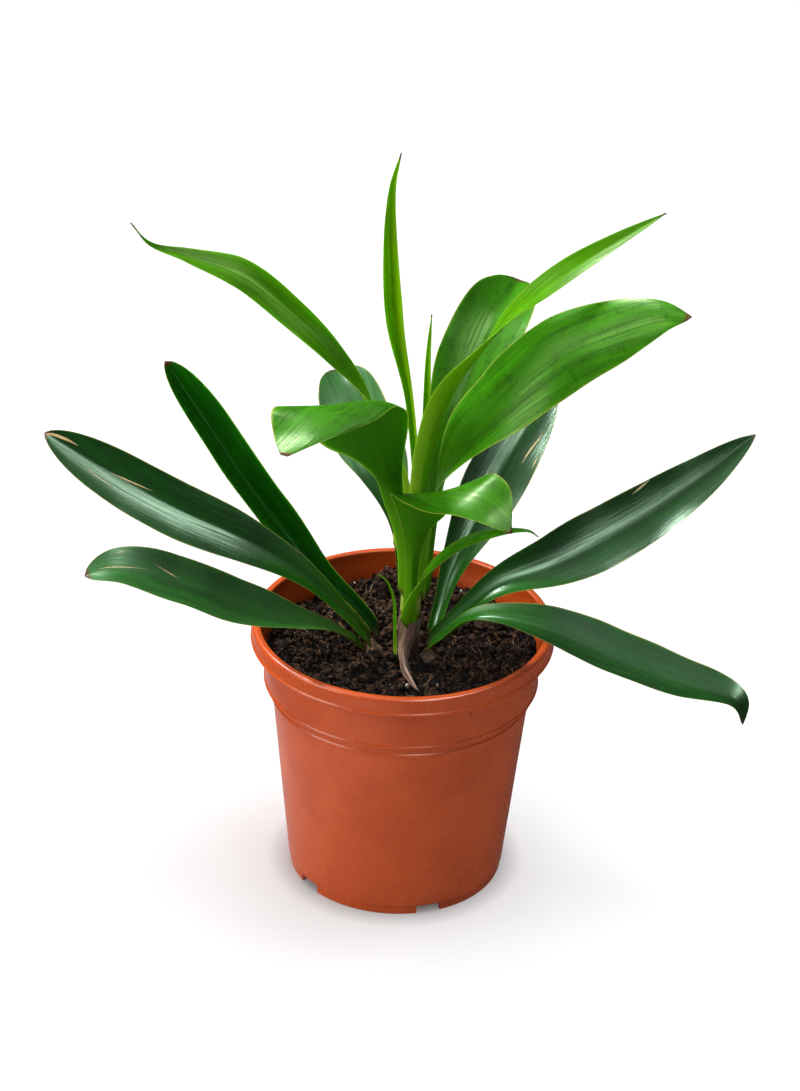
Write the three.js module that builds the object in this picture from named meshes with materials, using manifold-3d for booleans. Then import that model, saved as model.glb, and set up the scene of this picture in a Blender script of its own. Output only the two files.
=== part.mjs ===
// A cordyline of three shoots in a round nursery pot. Millimetres, +Z up.
// The origin is on the pot's axis at the plane it stands on, and -Y is the front.
import * as THREE from "three";
import { mergeVertices } from "three/addons/utils/BufferGeometryUtils.js";
import Module from "manifold-3d";

const wasm = await Module();
wasm.setup();

// ---- driving dimensions ----------------------------------------------------
const POT_HEIGHT = 158;
const POT_RADIUS = 85;          // over the lip
const BASE_RADIUS = 62;         // wall just above the foot ring
const WALL = 1.5;
const FOOT_HEIGHT = 5.5;
const FOOT_WIDTH = 2.6;
const FOOT_NOTCHES = 5;
const NOTCH_WIDTH = 14;
const NOTCH_HEIGHT = 5;
const FIRST_NOTCH = -71;        // degrees from +X, the notch right of the front
const DRAIN_RADIUS = 4;
const DRAIN_CIRCLE = 38;
const LIP_HEIGHT = 11;
const BAND_HEIGHT = 37;         // from the top down to the bottom of the wide band
const STEP_HEIGHT = 44;         // from the top down to the bottom of the small step
const SOIL_LEVEL = 142;
const CLODS = 90;
const CLOD_SPREAD = 75;
const GAP = 0.3;                // left between neighbouring solids
const LEAF_THICKNESS = 0.9;
const WAVE_LENGTH = 70;         // of the slow waves along the leaves' edges
const WAVE_SHARE = 0.035;       // their height, as a share of half the leaf's width

const ROUND_PARTS = 80;
const LEAF_LENGTH_PARTS = 18;
const LEAF_WIDTH_PARTS = 4;

// ---- solids and meshes -----------------------------------------------------
function solidFrom(positions, index) {
  return new wasm.Manifold(new wasm.Mesh({
    numProp: 3,
    vertProperties: new Float32Array(positions),
    triVerts: new Uint32Array(index),
  }));
}

function solidOf(geometry) {
  const bare = geometry.clone();
  bare.deleteAttribute("normal");
  bare.deleteAttribute("uv");
  const merged = mergeVertices(bare, 1e-4);
  return solidFrom(merged.attributes.position.array, merged.index.array);
}

function geometryOf(solid) {
  const mesh = solid.getMesh();
  const geometry = new THREE.BufferGeometry();
  geometry.setAttribute("position", new THREE.BufferAttribute(mesh.vertProperties, 3));
  geometry.setIndex(new THREE.BufferAttribute(mesh.triVerts, 1));
  geometry.computeVertexNormals();
  return geometry;
}

function largestBody(solid) {
  const bodies = solid.decompose();
  return bodies.reduce((best, body) => (body.volume() > best.volume() ? body : best));
}

function lathe(profile, parts) {
  const points = profile.map(([radius, height]) => new THREE.Vector2(radius, height));
  const geometry = new THREE.LatheGeometry(points, parts);
  geometry.rotateX(Math.PI / 2);
  return geometry;
}

const plant = new THREE.Group();

function addPiece(name, solid, color, roughness) {
  const material = new THREE.MeshStandardMaterial({ color, roughness, metalness: 0 });
  const mesh = new THREE.Mesh(geometryOf(solid), material);
  mesh.name = name;
  plant.add(mesh);
}

// ---- pot: one moulding with a lip, a stepped band and a notched foot ring ---
const bandBottom = POT_HEIGHT - BAND_HEIGHT;
const stepBottom = POT_HEIGHT - STEP_HEIGHT;
const lipBottom = POT_HEIGHT - LIP_HEIGHT;
const footOuter = BASE_RADIUS - 0.8;
const floorTop = FOOT_HEIGHT + WALL;
const lipInner = POT_RADIUS - 4.6;
const bandTopInner = POT_RADIUS - 8.1;
const wallTopInner = 73 - WALL;

function potSolid() {
  const profile = [
    [0, FOOT_HEIGHT],
    [footOuter - FOOT_WIDTH, FOOT_HEIGHT],
    [footOuter - FOOT_WIDTH, 0],
    [footOuter, 0],
    [footOuter + 0.3, FOOT_HEIGHT],
    [BASE_RADIUS, FOOT_HEIGHT + 0.6],
    [73, stepBottom],
    [73.9, stepBottom + 0.7],
    [74.2, bandBottom - 0.5],
    [77, bandBottom + 0.2],
    [77.5, bandBottom + 1.2],
    [78.4, lipBottom],
    [POT_RADIUS - 0.6, lipBottom],
    [POT_RADIUS, lipBottom + 0.8],
    [POT_RADIUS - 0.1, POT_HEIGHT - 1.6],
    [POT_RADIUS - 0.8, POT_HEIGHT - 0.4],
    [POT_RADIUS - 2, POT_HEIGHT],
    [lipInner + 1, POT_HEIGHT],
    [lipInner, POT_HEIGHT - 1],
    [lipInner - 0.3, lipBottom + 1],
    [bandTopInner, lipBottom - 2],
    [76, bandBottom + 2.2],
    [72.6, bandBottom - 1.4],
    [wallTopInner + 0.4, stepBottom],
    [BASE_RADIUS - WALL, floorTop + 1],
    [BASE_RADIUS - WALL - 1.2, floorTop],
    [0, floorTop],
  ];
  let pot = solidOf(lathe(profile, ROUND_PARTS));
  for (let i = 0; i < FOOT_NOTCHES; i += 1) {
    const angle = THREE.MathUtils.degToRad(FIRST_NOTCH + (i * 360) / FOOT_NOTCHES);
    const notch = new THREE.BoxGeometry(FOOT_WIDTH * 6, NOTCH_WIDTH, NOTCH_HEIGHT + 2);
    notch.translate(footOuter, 0, NOTCH_HEIGHT / 2 - 1);
    notch.rotateZ(angle);
    pot = pot.subtract(solidOf(notch));
    const drain = new THREE.CylinderGeometry(DRAIN_RADIUS, DRAIN_RADIUS, 8 * WALL, 20);
    drain.rotateX(Math.PI / 2);
    drain.translate(DRAIN_CIRCLE * Math.cos(angle), DRAIN_CIRCLE * Math.sin(angle), FOOT_HEIGHT);
    pot = pot.subtract(solidOf(drain));
  }
  return pot;
}

// ---- stems: round, tapered, standing in the soil ----------------------------
const STEMS = [
  {
    name: "main_stem",
    points: [[3, -9, 60], [3, -10, 130], [4, -11, 180], [5, -9, 230], [7, -6, 268]],
    radii: [5.5, 6.2, 5.6, 4.2, 2.2],
    color: 0x6f9a2e,
  },
  {
    name: "left_crown",
    points: [[-15, -9, 80], [-15, -9, 125], [-15, -10, 141], [-17, -11, 152]],
    radii: [4.5, 5.2, 6.2, 3.4],
    color: 0x7a6238,
  },
  {
    name: "right_crown",
    points: [[15, -16, 80], [15, -16, 125], [14, -15, 140], [15, -14, 150]],
    radii: [4, 4.8, 5.4, 3.2],
    color: 0x6b5a34,
  },
];

function stemSolid(stem, grow) {
  const ring = 12;
  const rows = 14;
  const curve = new THREE.CatmullRomCurve3(
    stem.points.map((point) => new THREE.Vector3(...point)), false, "catmullrom", 0.5);
  const positions = [];
  for (let i = 0; i <= rows; i += 1) {
    const centre = curve.getPoint(i / rows);
    const place = (i / rows) * (stem.radii.length - 1);
    const low = Math.min(Math.floor(place), stem.radii.length - 2);
    const radius = THREE.MathUtils.lerp(stem.radii[low], stem.radii[low + 1], place - low) + grow;
    const lift = i === 0 ? -grow : i === rows ? grow : 0;
    for (let j = 0; j < ring; j += 1) {
      const angle = (2 * Math.PI * j) / ring;
      positions.push(centre.x + radius * Math.cos(angle), centre.y + radius * Math.sin(angle), centre.z + lift);
    }
  }
  const index = [];
  for (let i = 0; i < rows; i += 1) {
    for (let j = 0; j < ring; j += 1) {
      const a = i * ring + j;
      const b = i * ring + ((j + 1) % ring);
      index.push(a, b, b + ring, a, b + ring, a + ring);
    }
  }
  for (let j = 1; j < ring - 1; j += 1) {
    index.push(0, j + 1, j);
    index.push(rows * ring, rows * ring + j, rows * ring + j + 1);
  }
  return solidFrom(positions, index);
}

// ---- leaves ------------------------------------------------------------------
// points: the midrib from its base to its tip. faces: which way the upper side looks
// at each of those points. width and stalk are full widths. blade and widest are shares
// of the length: where the stalk starts to widen, and where the blade is widest.
// fold: degrees that each half is turned up from the midrib. curl: half of the arc, in
// degrees, that a section bends through. Both are read evenly from base to tip.
// A blade that rolls over is given by its two edges instead, place by place along the midrib.
const YOUNG = 0x6f9e22;
const FRESH = 0x468c26;
const DARK = 0x1f5a2a;
const BLUISH = 0x2f6045;
const DRY = 0x7a5a3c;

const LEAVES = [
  {
    name: "leaf_spear",
    points: [[6, -6, 175], [6, -5, 238], [0, 2, 296], [-10, 8, 341], [-14, 12, 381], [-14, 14, 414],
      [-9, 14, 436]],
    faces: [[-.2, -1, 0], [-.2, -1, 0], [-.1, -1, 0], [.1, -1, .1], [.2, -1, .1], [.3, -1, .1],
      [.3, -1, .1]],
    width: 15, stalk: 7, blade: .45, widest: .68, sharp: 1.5, full: .8,
    fold: [40, 45, 50], curl: [40, 5, 5], color: YOUNG,
  },
  {
    name: "leaf_spear_young",
    points: [[9, -4, 255], [9, -2, 298], [9, 0, 325], [10, 0, 349]],
    faces: [[0, -1, 0], [0, -1, 0], [0, -1, 0], [0, -1, 0]],
    width: 5, stalk: 4, blade: .1, widest: .3, sharp: 2, full: .8,
    fold: [30, 30, 30], curl: [20, 5, 5], color: YOUNG,
  },
  {
    name: "leaf_right_arch",
    points: [[7, -12, 204], [7, -14, 243], [10, -15, 275], [19, -17, 308], [36, -19, 335], [53, -20, 359],
      [77, -20, 383], [102, -16, 400], [131, -8, 416]],
    faces: [[-.2, 1, .2], [-.2, 1, .2], [-.2, 1, .2], [-.4, .8, .3], [-.6, .4, .5], [-.6, -.1, .8],
      [-.4, -.6, .7], [-.3, -.6, .75], [-.3, -.6, .75]],
    width: 17, stalk: 13, blade: .1, widest: .6, sharp: 2.2, full: .9,
    fold: [5, 5, 5], curl: [70, 25, 20], color: YOUNG,
  },
  {
    name: "leaf_right_broad",
    points: [[11, -14, 180], [15, -17, 238], [27, -20, 281], [48, -25, 312], [76, -34, 344],
      [104, -46, 365], [128, -54, 378], [144, -58, 380]],
    faces: [[-.6, .5, .2], [-.6, .2, .4], [-.5, -.4, .7], [-.4, -.6, .8], [-.2, -.75, .6],
      [-.05, -.75, .65], [.1, -.7, .7], [.3, -.5, .8]],
    width: 46, stalk: 11, blade: .17, widest: .58, sharp: 2.4, full: .75,
    fold: [10, 4, -2, -4], curl: [70, 15, -24, -20], color: FRESH,
  },
  {
    name: "leaf_left_arch",
    points: [[-1, -8, 202], [-6, -2, 249], [-23, 8, 289], [-44, 16, 315], [-66, 22, 336], [-92, 26, 355],
      [-121, 26, 366], [-142, 23, 374], [-153, 22, 387]],
    faces: [[.3, .8, .3], [.4, .7, .3], [.5, .2, .7], [.4, -.5, .7], [-.1, -.7, .7], [-.2, -.6, .8],
      [-.2, -.6, .8], [-.2, -.6, .8], [-.2, -.6, .8]],
    width: 19, stalk: 10, blade: .44, widest: .75, sharp: 1.2, full: 1.6,
    fold: [10, 8, 8], curl: [70, 25, 20], color: YOUNG,
  },
  {
    name: "leaf_back_broad",
    points: [[11, -4, 174], [14, 4, 227], [22, 18, 270], [35, 42, 302], [45, 62, 319], [55, 84, 324],
      [60, 101, 324]],
    faces: [[-.1, -1, .2], [-.1, -1, .2], [-.1, -.9, .3], [-.1, -.9, .4], [0, -.8, .6], [.1, -.5, .9],
      [.2, -.1, 1]],
    width: 44, stalk: 10, blade: .32, widest: .66, sharp: 2.6, full: .6,
    fold: [10, 8, 8], curl: [70, 25, 20], color: FRESH,
  },
  {
    name: "leaf_left_back",
    points: [[1, -4, 174], [-4, 6, 213], [-14, 20, 243], [-29, 38, 264], [-36, 54, 276], [-41, 68, 281]],
    faces: [[.1, -1, .2], [.2, -1, .2], [.2, -.9, .3], [.1, -.9, .4], [0, -.7, .7], [-.1, -.3, .95]],
    width: 40, stalk: 10, blade: .25, widest: .68, sharp: 2.8, full: .5,
    fold: [10, 8, 8], curl: [70, 25, 20], color: BLUISH,
  },
  {
    name: "leaf_left_curled",
    points: [[1, -16, 181], [0, -20, 218], [-7, -24, 249], [-11, -29, 269], [-17, -33, 287],
      [-22, -38, 306], [-28, -45, 318], [-36, -55, 319], [-44, -66, 317], [-54, -76, 312], [-65, -84, 305]],
    rightEdge: [[5, -14, 180], [4, -18, 218], [-2, -21, 250], [-3, -23, 271], [-1, -27, 290],
      [-1, -33, 306], [-8, -44, 315], [-18, -58, 314], [-32, -70, 313], [-45, -80, 312], [-63, -85, 305]],
    leftEdge: [[-3, -15, 180], [-5, -19, 217], [-13, -23, 247], [-18, -30, 265], [-30, -38, 280],
      [-45, -42, 289], [-58, -46, 304], [-68, -50, 316], [-73, -58, 317], [-71, -70, 309], [-67, -83, 305]],
    color: FRESH,
  },
  {
    name: "leaf_front_curled",
    points: [[3, -20, 157], [4, -23, 185], [4, -26, 212], [6, -30, 230], [6, -34, 247], [6, -38, 259],
      [13, -45, 264], [23, -54, 267], [34, -62, 270], [45, -69, 268], [56, -75, 258]],
    rightEdge: [[9, -18, 156], [7, -21, 184], [8, -23, 212], [13, -26, 231], [21, -30, 243],
      [26, -34, 255], [30, -39, 266], [38, -44, 274], [47, -52, 281], [55, -62, 276], [56, -73, 260]],
    leftEdge: [[-2, -18, 156], [0, -21, 184], [0, -24, 212], [-2, -28, 232], [-6, -33, 248],
      [-9, -39, 260], [-2, -50, 261], [11, -62, 262], [26, -72, 266], [40, -76, 264], [53, -76, 259]],
    color: FRESH,
  },
  {
    name: "leaf_front_slim",
    points: [[2, -22, 166], [7, -26, 188], [17, -32, 211], [33, -40, 231], [52, -48, 243], [65, -54, 248],
      [71, -58, 247]],
    faces: [[-.7, .3, .4], [-.6, .2, .6], [-.5, -.1, .8], [-.3, -.3, .9], [-.1, -.3, .9], [.1, -.3, .9],
      [.4, -.3, .8]],
    width: 13, stalk: 13, blade: .1, widest: .3, sharp: 1.5, full: .8,
    fold: [10, 8, 8], curl: [70, 25, 20], color: FRESH,
  },
  {
    name: "leaf_left_long",
    points: [[-17, -14, 148], [-32, -16, 169], [-56, -18, 196], [-88, -20, 217], [-127, -18, 234],
      [-165, -12, 253], [-199, -4, 272]],
    faces: [[.5, -.3, .8], [.4, -.5, .8], [.2, -.7, .7], [.1, -.75, .65], [.1, -.75, .65], [.1, -.7, .7],
      [.1, -.7, .7]],
    width: 35, stalk: 11, blade: .1, widest: .62, sharp: 3.2, full: .68,
    fold: [10, 8, 8], curl: [70, 25, 20], color: DARK,
  },
  {
    name: "leaf_left_folded",
    points: [[-13, -5, 149], [-28, 2, 166], [-50, 14, 181], [-72, 28, 202], [-94, 40, 227],
      [-115, 52, 254], [-138, 62, 285]],
    faces: [[.5, -.6, .6], [.55, -.5, .65], [.6, -.4, .7], [.65, -.25, .7], [.65, -.25, .7],
      [.65, -.25, .7], [.65, -.25, .7]],
    width: 32, stalk: 12, blade: .08, widest: .5, sharp: 5, full: .75,
    fold: [15, 25, 55, 62, 60], curl: [70, 25, 8, 5], color: DARK,
  },
  {
    name: "leaf_left_low",
    points: [[-20, -18, 148], [-29, -26, 160], [-42, -36, 173], [-63, -50, 186], [-91, -66, 203],
      [-122, -80, 223], [-150, -90, 237], [-169, -95, 235]],
    faces: [[.4, .2, .9], [.3, -.1, .9], [.1, -.3, .9], [.05, -.45, .9], [0, -.5, .9], [-.05, -.5, .9],
      [-.2, -.5, .85], [-.7, -.4, .6]],
    width: 33, stalk: 9, blade: .1, widest: .58, sharp: 3.4, full: .55,
    fold: [10, 8, 8], curl: [60, 25, 20], color: DARK,
  },
  {
    name: "leaf_right_long",
    points: [[13, -14, 148], [28, -8, 163], [54, 2, 182], [87, 14, 192], [126, 28, 209], [163, 42, 231],
      [195, 54, 255]],
    faces: [[-.5, -.3, .8], [-.4, -.5, .8], [-.3, -.7, .7], [-.2, -.8, .6], [-.2, -.8, .6],
      [-.15, -.8, .6], [-.1, -.8, .6]],
    width: 38, stalk: 11, blade: .06, widest: .5, sharp: 2, full: .74,
    fold: [10, 8, 8], curl: [70, 25, 20], color: DARK,
  },
  {
    name: "leaf_right_low",
    points: [[12, -18, 148], [23, -23, 161], [42, -32, 180], [78, -46, 183], [114, -62, 176],
      [151, -79, 171.5], [179, -91, 169], [185, -95, 156]],
    faces: [[-.4, -.2, .9], [-.3, -.2, .9], [0, -.2, 1], [.2, -.35, .9], [.25, -.4, .9], [.3, -.4, .85],
      [.6, -.4, .65], [.9, -.4, .3]],
    width: 34, stalk: 9, blade: .06, widest: .55, sharp: 2.6, full: .6,
    fold: [10, 8, 8], curl: [60, 25, 20], color: DARK,
  },
  {
    name: "leaf_right_back",
    points: [[17, -8, 147], [21, 4, 163], [28, 18, 185], [43, 38, 211], [59, 60, 236], [73, 82, 253],
      [82, 101, 261]],
    faces: [[-.4, -.8, .3], [-.3, -.85, .3], [-.2, -.9, .3], [-.2, -.9, .4], [-.2, -.9, .4],
      [-.1, -.9, .5], [0, -.8, .6]],
    width: 38, stalk: 11, blade: .12, widest: .58, sharp: 2.2, full: .8,
    fold: [10, 8, 8], curl: [70, 25, 20], color: BLUISH,
  },
  {
    name: "sprout",
    points: [[-3, -19, 141], [-4, -19, 165], [-5, -18, 181], [-9, -17, 192], [-15, -16, 197]],
    faces: [[-.6, -.6, .2], [-.6, -.6, .2], [-.6, -.6, .2], [-.6, -.6, .2], [-.6, -.6, .2]],
    width: 4, stalk: 4, blade: .1, widest: .3, sharp: 2, full: .8,
    fold: [10, 8, 8], curl: [40, 25, 20], color: FRESH,
  },
  {
    name: "dry_sheath",
    points: [[5, -19, 172], [6, -21, 160], [6, -28, 151], [8, -42, 149], [10, -60, 148]],
    faces: [[0, -1, .1], [0, -1, .3], [0, -.5, .9], [.1, -.2, 1], [.3, -.2, 1]],
    width: 12, stalk: 15, blade: .1, widest: .3, sharp: 1.3, full: .8,
    fold: [-10, -20, -35, -40], curl: [-60, -40, -20, -10], color: DRY,
  },
];

function smooth(value) {
  return THREE.MathUtils.smoothstep(value, 0, 1);
}

function curveThrough(places) {
  const points = places.map((place) => new THREE.Vector3(...place));
  return new THREE.CatmullRomCurve3(points, false, "catmullrom", 0.5);
}

function along(values, share) {
  const place = share * (values.length - 1);
  const low = Math.min(Math.floor(place), values.length - 2);
  return THREE.MathUtils.lerp(values[low], values[low + 1], place - low);
}

function halfWidth(leaf, share) {
  const grown = smooth((share - leaf.blade) / (leaf.widest - leaf.blade));
  const taper = THREE.MathUtils.clamp((share - leaf.widest) / (1 - leaf.widest), 0, 1);
  const width = (leaf.stalk + (leaf.width - leaf.stalk) * grown) * (1 - taper ** leaf.sharp) ** leaf.full;
  return Math.max(width, 1.2) / 2;
}

// Lifts the edges in slow waves, and leaves the midrib where it is.
function edgeWave(leaf, distance, v, half) {
  const start = leaf.points.at(-1)[0] + (v < 0 ? 0 : 1);
  return WAVE_SHARE * half * Math.abs(v) ** 3 * Math.sin((2 * Math.PI * distance) / WAVE_LENGTH + start);
}

// One row across the leaf: each half is an arc, turned up from the midrib by the fold.
function archedRow(leaf, curve, facing, share, grow) {
  const t = curve.getUtoTmapping(share);
  const centre = curve.getPoint(t);
  const tangent = curve.getTangent(t);
  const upper = facing.getPoint(t);
  upper.addScaledVector(tangent, -upper.dot(tangent)).normalize();
  const side = tangent.clone().cross(upper);
  const half = halfWidth(leaf, share) + grow;
  const length = curve.getLength();
  const curl = THREE.MathUtils.degToRad(along(leaf.curl, share)) || 1e-4;
  const fold = THREE.MathUtils.degToRad(along(leaf.fold, share));
  const row = [];
  for (let j = 0; j <= LEAF_WIDTH_PARTS; j += 1) {
    const v = (2 * j) / LEAF_WIDTH_PARTS - 1;
    const out = (half * Math.sin(curl * Math.abs(v))) / curl;
    const up = (half * (1 - Math.cos(curl * v))) / curl;
    const x = Math.sign(v) * (out * Math.cos(fold) - up * Math.sin(fold));
    const y = out * Math.sin(fold) + up * Math.cos(fold) + edgeWave(leaf, share * length, v, half);
    row.push(centre.clone().addScaledVector(side, x).addScaledVector(upper, y));
  }
  return row;
}

// One row across a rolled blade: a bow from its right edge over the midrib to its left edge.
function rolledRow(leaf, curve, share, grow) {
  const t = curve.getUtoTmapping(share);
  const middle = curve.getPoint(t);
  const right = curveThrough(leaf.rightEdge).getPoint(t);
  const left = curveThrough(leaf.leftEdge).getPoint(t);
  right.addScaledVector(right.clone().sub(middle).normalize(), grow);
  left.addScaledVector(left.clone().sub(middle).normalize(), grow);
  const row = [];
  for (let j = 0; j <= LEAF_WIDTH_PARTS; j += 1) {
    const v = (2 * j) / LEAF_WIDTH_PARTS - 1;
    const place = middle.clone().multiplyScalar(1 - v * v);
    place.addScaledVector(right, (v * v - v) / 2);
    place.addScaledVector(left, (v * v + v) / 2);
    row.push(place);
  }
  return row;
}

function leafRows(leaf, grow) {
  const curve = curveThrough(leaf.points);
  const rows = [];
  for (let i = 0; i <= LEAF_LENGTH_PARTS; i += 1) {
    const share = i / LEAF_LENGTH_PARTS;
    if (leaf.leftEdge) {
      rows.push(rolledRow(leaf, curve, share, grow));
    } else {
      rows.push(archedRow(leaf, curve, curveThrough(leaf.faces), share, grow));
    }
  }
  return rows;
}

// The blade is the same net of points twice, half the thickness to either side.
function leafSolid(leaf, grow) {
  const rows = leafRows(leaf, grow);
  const wide = LEAF_WIDTH_PARTS + 1;
  const long = LEAF_LENGTH_PARTS + 1;
  const thick = LEAF_THICKNESS / 2 + grow;
  const positions = [];
  for (const sign of [1, -1]) {
    for (let i = 0; i < long; i += 1) {
      for (let j = 0; j < wide; j += 1) {
        const lengthwise = rows[Math.min(i + 1, long - 1)][j].clone().sub(rows[Math.max(i - 1, 0)][j]);
        const across = rows[i][Math.min(j + 1, wide - 1)].clone().sub(rows[i][Math.max(j - 1, 0)]);
        const normal = lengthwise.cross(across).normalize();
        const place = rows[i][j].clone().addScaledVector(normal, -sign * thick);
        positions.push(place.x, place.y, place.z);
      }
    }
  }
  const index = [];
  const under = long * wide;
  const quad = (a, b, c, d) => index.push(a, b, c, a, c, d);
  for (let i = 0; i < long - 1; i += 1) {
    for (let j = 0; j < wide - 1; j += 1) {
      const a = i * wide + j;
      quad(a, a + 1, a + 1 + wide, a + wide);
      index.push(under + a, under + a + 1 + wide, under + a + 1);
      index.push(under + a, under + a + wide, under + a + 1 + wide);
    }
    const left = i * wide;
    const right = left + wide - 1;
    quad(left, left + wide, under + left + wide, under + left);
    quad(right + wide, right, under + right, under + right + wide);
  }
  for (let j = 0; j < wide - 1; j += 1) {
    const tip = (long - 1) * wide + j;
    quad(j + 1, j, under + j, under + j + 1);
    quad(tip, tip + 1, under + tip + 1, under + tip);
  }
  return solidFrom(positions, index);
}

// ---- soil: fills the pot, with a rough top and a plain hole for each stem -----
const SOIL_BUMPS = [
  { x: -12, y: -8, height: 3, spread: 20 },
  { x: 12, y: -12, height: 2.5, spread: 18 },
  { x: 4, y: 34, height: 3, spread: 26 },
  { x: -46, y: 12, height: 1.5, spread: 18 },
];

// Rounded clods in a loosened sunflower pattern, each with a width and a height of its own.
function clodHeight(x, y) {
  let height = 0;
  for (let i = 0; i < CLODS; i += 1) {
    const out = CLOD_SPREAD * Math.sqrt((i + 0.5) / CLODS) + 2 * Math.sin(3 * i);
    const angle = 2.4 * i + 0.2 * Math.sin(5 * i);
    const size = 5 + 4.5 * ((0.618 * i) % 1);
    const rise = 1.5 + 2.5 * ((0.414 * i) % 1);
    const away = Math.hypot(x - out * Math.cos(angle), y - out * Math.sin(angle)) / size;
    height = Math.max(height, rise * Math.sqrt(Math.max(0, 1 - away * away)));
  }
  return height;
}

function soilHeight(x, y) {
  let height = SOIL_LEVEL + clodHeight(x, y);
  for (const bump of SOIL_BUMPS) {
    const away = Math.hypot(x - bump.x, y - bump.y) / bump.spread;
    height += bump.height * Math.exp(-away * away);
  }
  return height;
}

function soilSolid() {
  const side = [
    [BASE_RADIUS - WALL - 1.7, floorTop + GAP],
    [BASE_RADIUS - WALL - GAP, floorTop + 2],
    [wallTopInner + 0.4 - GAP, stepBottom],
    [72.6 - GAP, bandBottom - 1],
    [76 - GAP, bandBottom + 2.6],
    [76.6 - GAP, SOIL_LEVEL - 1],
  ];
  const around = 60;
  const rings = 20;
  const topRadius = side[side.length - 1][0];
  const positions = [0, 0, floorTop + GAP];
  const ringOf = (radius, height) => {
    for (let j = 0; j < around; j += 1) {
      const angle = (2 * Math.PI * j) / around;
      const x = radius * Math.cos(angle);
      const y = radius * Math.sin(angle);
      positions.push(x, y, height(x, y));
    }
  };
  side.forEach(([radius, z]) => ringOf(radius, () => z));
  for (let i = rings - 1; i > 0; i -= 1) {
    ringOf((topRadius * i) / rings, soilHeight);
  }
  positions.push(0, 0, soilHeight(0, 0));
  const index = [];
  const ringCount = side.length + rings - 1;
  for (let j = 0; j < around; j += 1) {
    const next = (j + 1) % around;
    index.push(0, 1 + next, 1 + j);
    for (let i = 0; i < ringCount - 1; i += 1) {
      const a = 1 + i * around + j;
      const b = 1 + i * around + next;
      index.push(a, b, b + around, a, b + around, a + around);
    }
    const last = 1 + (ringCount - 1) * around;
    index.push(last + j, last + next, last + around);
  }
  return solidFrom(positions, index);
}

// ---- assembly -------------------------------------------------------------------
// Every stem and leaf is trimmed back by the gap from those placed before it.
addPiece("pot", potSolid(), 0xb4532f, 0.45);

const placed = [];
let soil = soilSolid();
for (const stem of STEMS) {
  const room = stemSolid(stem, GAP);
  soil = soil.subtract(room);
  placed.push(room);
  addPiece(stem.name, stemSolid(stem, 0), stem.color, 0.6);
}
for (const leaf of LEAVES) {
  let solid = leafSolid(leaf, 0);
  for (const room of placed) {
    solid = solid.subtract(room);
  }
  const room = leafSolid(leaf, GAP);
  placed.push(room);
  soil = soil.subtract(room);
  addPiece(leaf.name, largestBody(solid), leaf.color, 0.4);
}
addPiece("soil", largestBody(soil), 0x2a1d15, 1);

export default plant;
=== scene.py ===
# %% [markdown]
# # A potted cordyline
#
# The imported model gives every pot, stem and leaf its place and size. This lesson gives them
# their looks. Each leaf is rebuilt with the rule that made its solid, with many more points,
# so it keeps its form and gains a crease, a waved edge and veins. The pot is turned again
# with rounded corners, and the soil gets its crumbs and fibres.
#
# Everything is worked out in millimetres and turned to metres when a mesh is made.

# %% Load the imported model
import math
import random

import bpy
import numpy as np
from mathutils import Matrix, Vector, noise


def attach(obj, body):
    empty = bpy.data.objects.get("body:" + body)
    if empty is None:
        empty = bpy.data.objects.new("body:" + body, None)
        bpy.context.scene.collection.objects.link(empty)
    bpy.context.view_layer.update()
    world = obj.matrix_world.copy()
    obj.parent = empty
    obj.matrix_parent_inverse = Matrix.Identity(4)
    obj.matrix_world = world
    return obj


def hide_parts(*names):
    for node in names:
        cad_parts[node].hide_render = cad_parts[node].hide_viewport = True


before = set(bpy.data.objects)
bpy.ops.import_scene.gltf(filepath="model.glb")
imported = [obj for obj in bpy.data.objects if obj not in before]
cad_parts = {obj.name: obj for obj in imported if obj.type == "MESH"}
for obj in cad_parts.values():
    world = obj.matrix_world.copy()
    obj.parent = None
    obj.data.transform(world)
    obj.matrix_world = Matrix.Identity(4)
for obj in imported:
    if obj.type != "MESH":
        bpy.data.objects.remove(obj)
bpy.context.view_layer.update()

scene = bpy.context.scene
print("nodes:", len(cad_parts))

# %% [markdown]
# ## Small helpers
#
# A mesh is made from a list of points and a list of faces. Colours are written as they look
# on a screen, in hex, and one function turns them into the linear numbers that a shader
# needs. Another adds a shader node, links what it is given, and sets the rest. Dry paper,
# cork, bark and peat are all two browns mixed by a grain, so they share one recipe.

# %% Helpers for meshes, colours and shader nodes
MM = 0.001


def make_piece(name, points, faces, materials, replaces=(), slot=None, smooth=True):
    """Makes a mesh from points in millimetres and lets it ride on the object's one body."""
    mesh = bpy.data.meshes.new(name)
    mesh.from_pydata([tuple(point) for point in np.asarray(points) * MM], [], faces)
    mesh.polygons.foreach_set("use_smooth", [smooth] * len(mesh.polygons))
    for material in materials:
        mesh.materials.append(material)
    piece = bpy.data.objects.new(name, mesh)
    scene.collection.objects.link(piece)
    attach(piece, "root")
    if replaces:
        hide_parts(*replaces)
    return piece


def linear(hex_colour):
    """Turns an sRGB hex colour into linear red, green and blue, with full alpha."""
    shades = [int(hex_colour[i:i + 2], 16) / 255 for i in (1, 3, 5)]
    return [s / 12.92 if s <= 0.04045 else ((s + 0.055) / 1.055) ** 2.4 for s in shades] + [1.0]


def add_node(tree, kind, inputs=None, **settings):
    """Adds a node with its settings. An input takes a value, a hex colour, an output, or a node,
    which gives its first output."""
    node = tree.nodes.new("ShaderNode" + kind)
    for key, value in settings.items():
        setattr(node, key, value)
    for key, value in (inputs or {}).items():
        if isinstance(value, str):
            value = linear(value)
        if isinstance(value, bpy.types.Node):
            value = next(output for output in value.outputs if output.enabled)
        if isinstance(value, bpy.types.NodeSocket):
            tree.links.new(value, node.inputs[key])
        else:
            node.inputs[key].default_value = value
    return node


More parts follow.
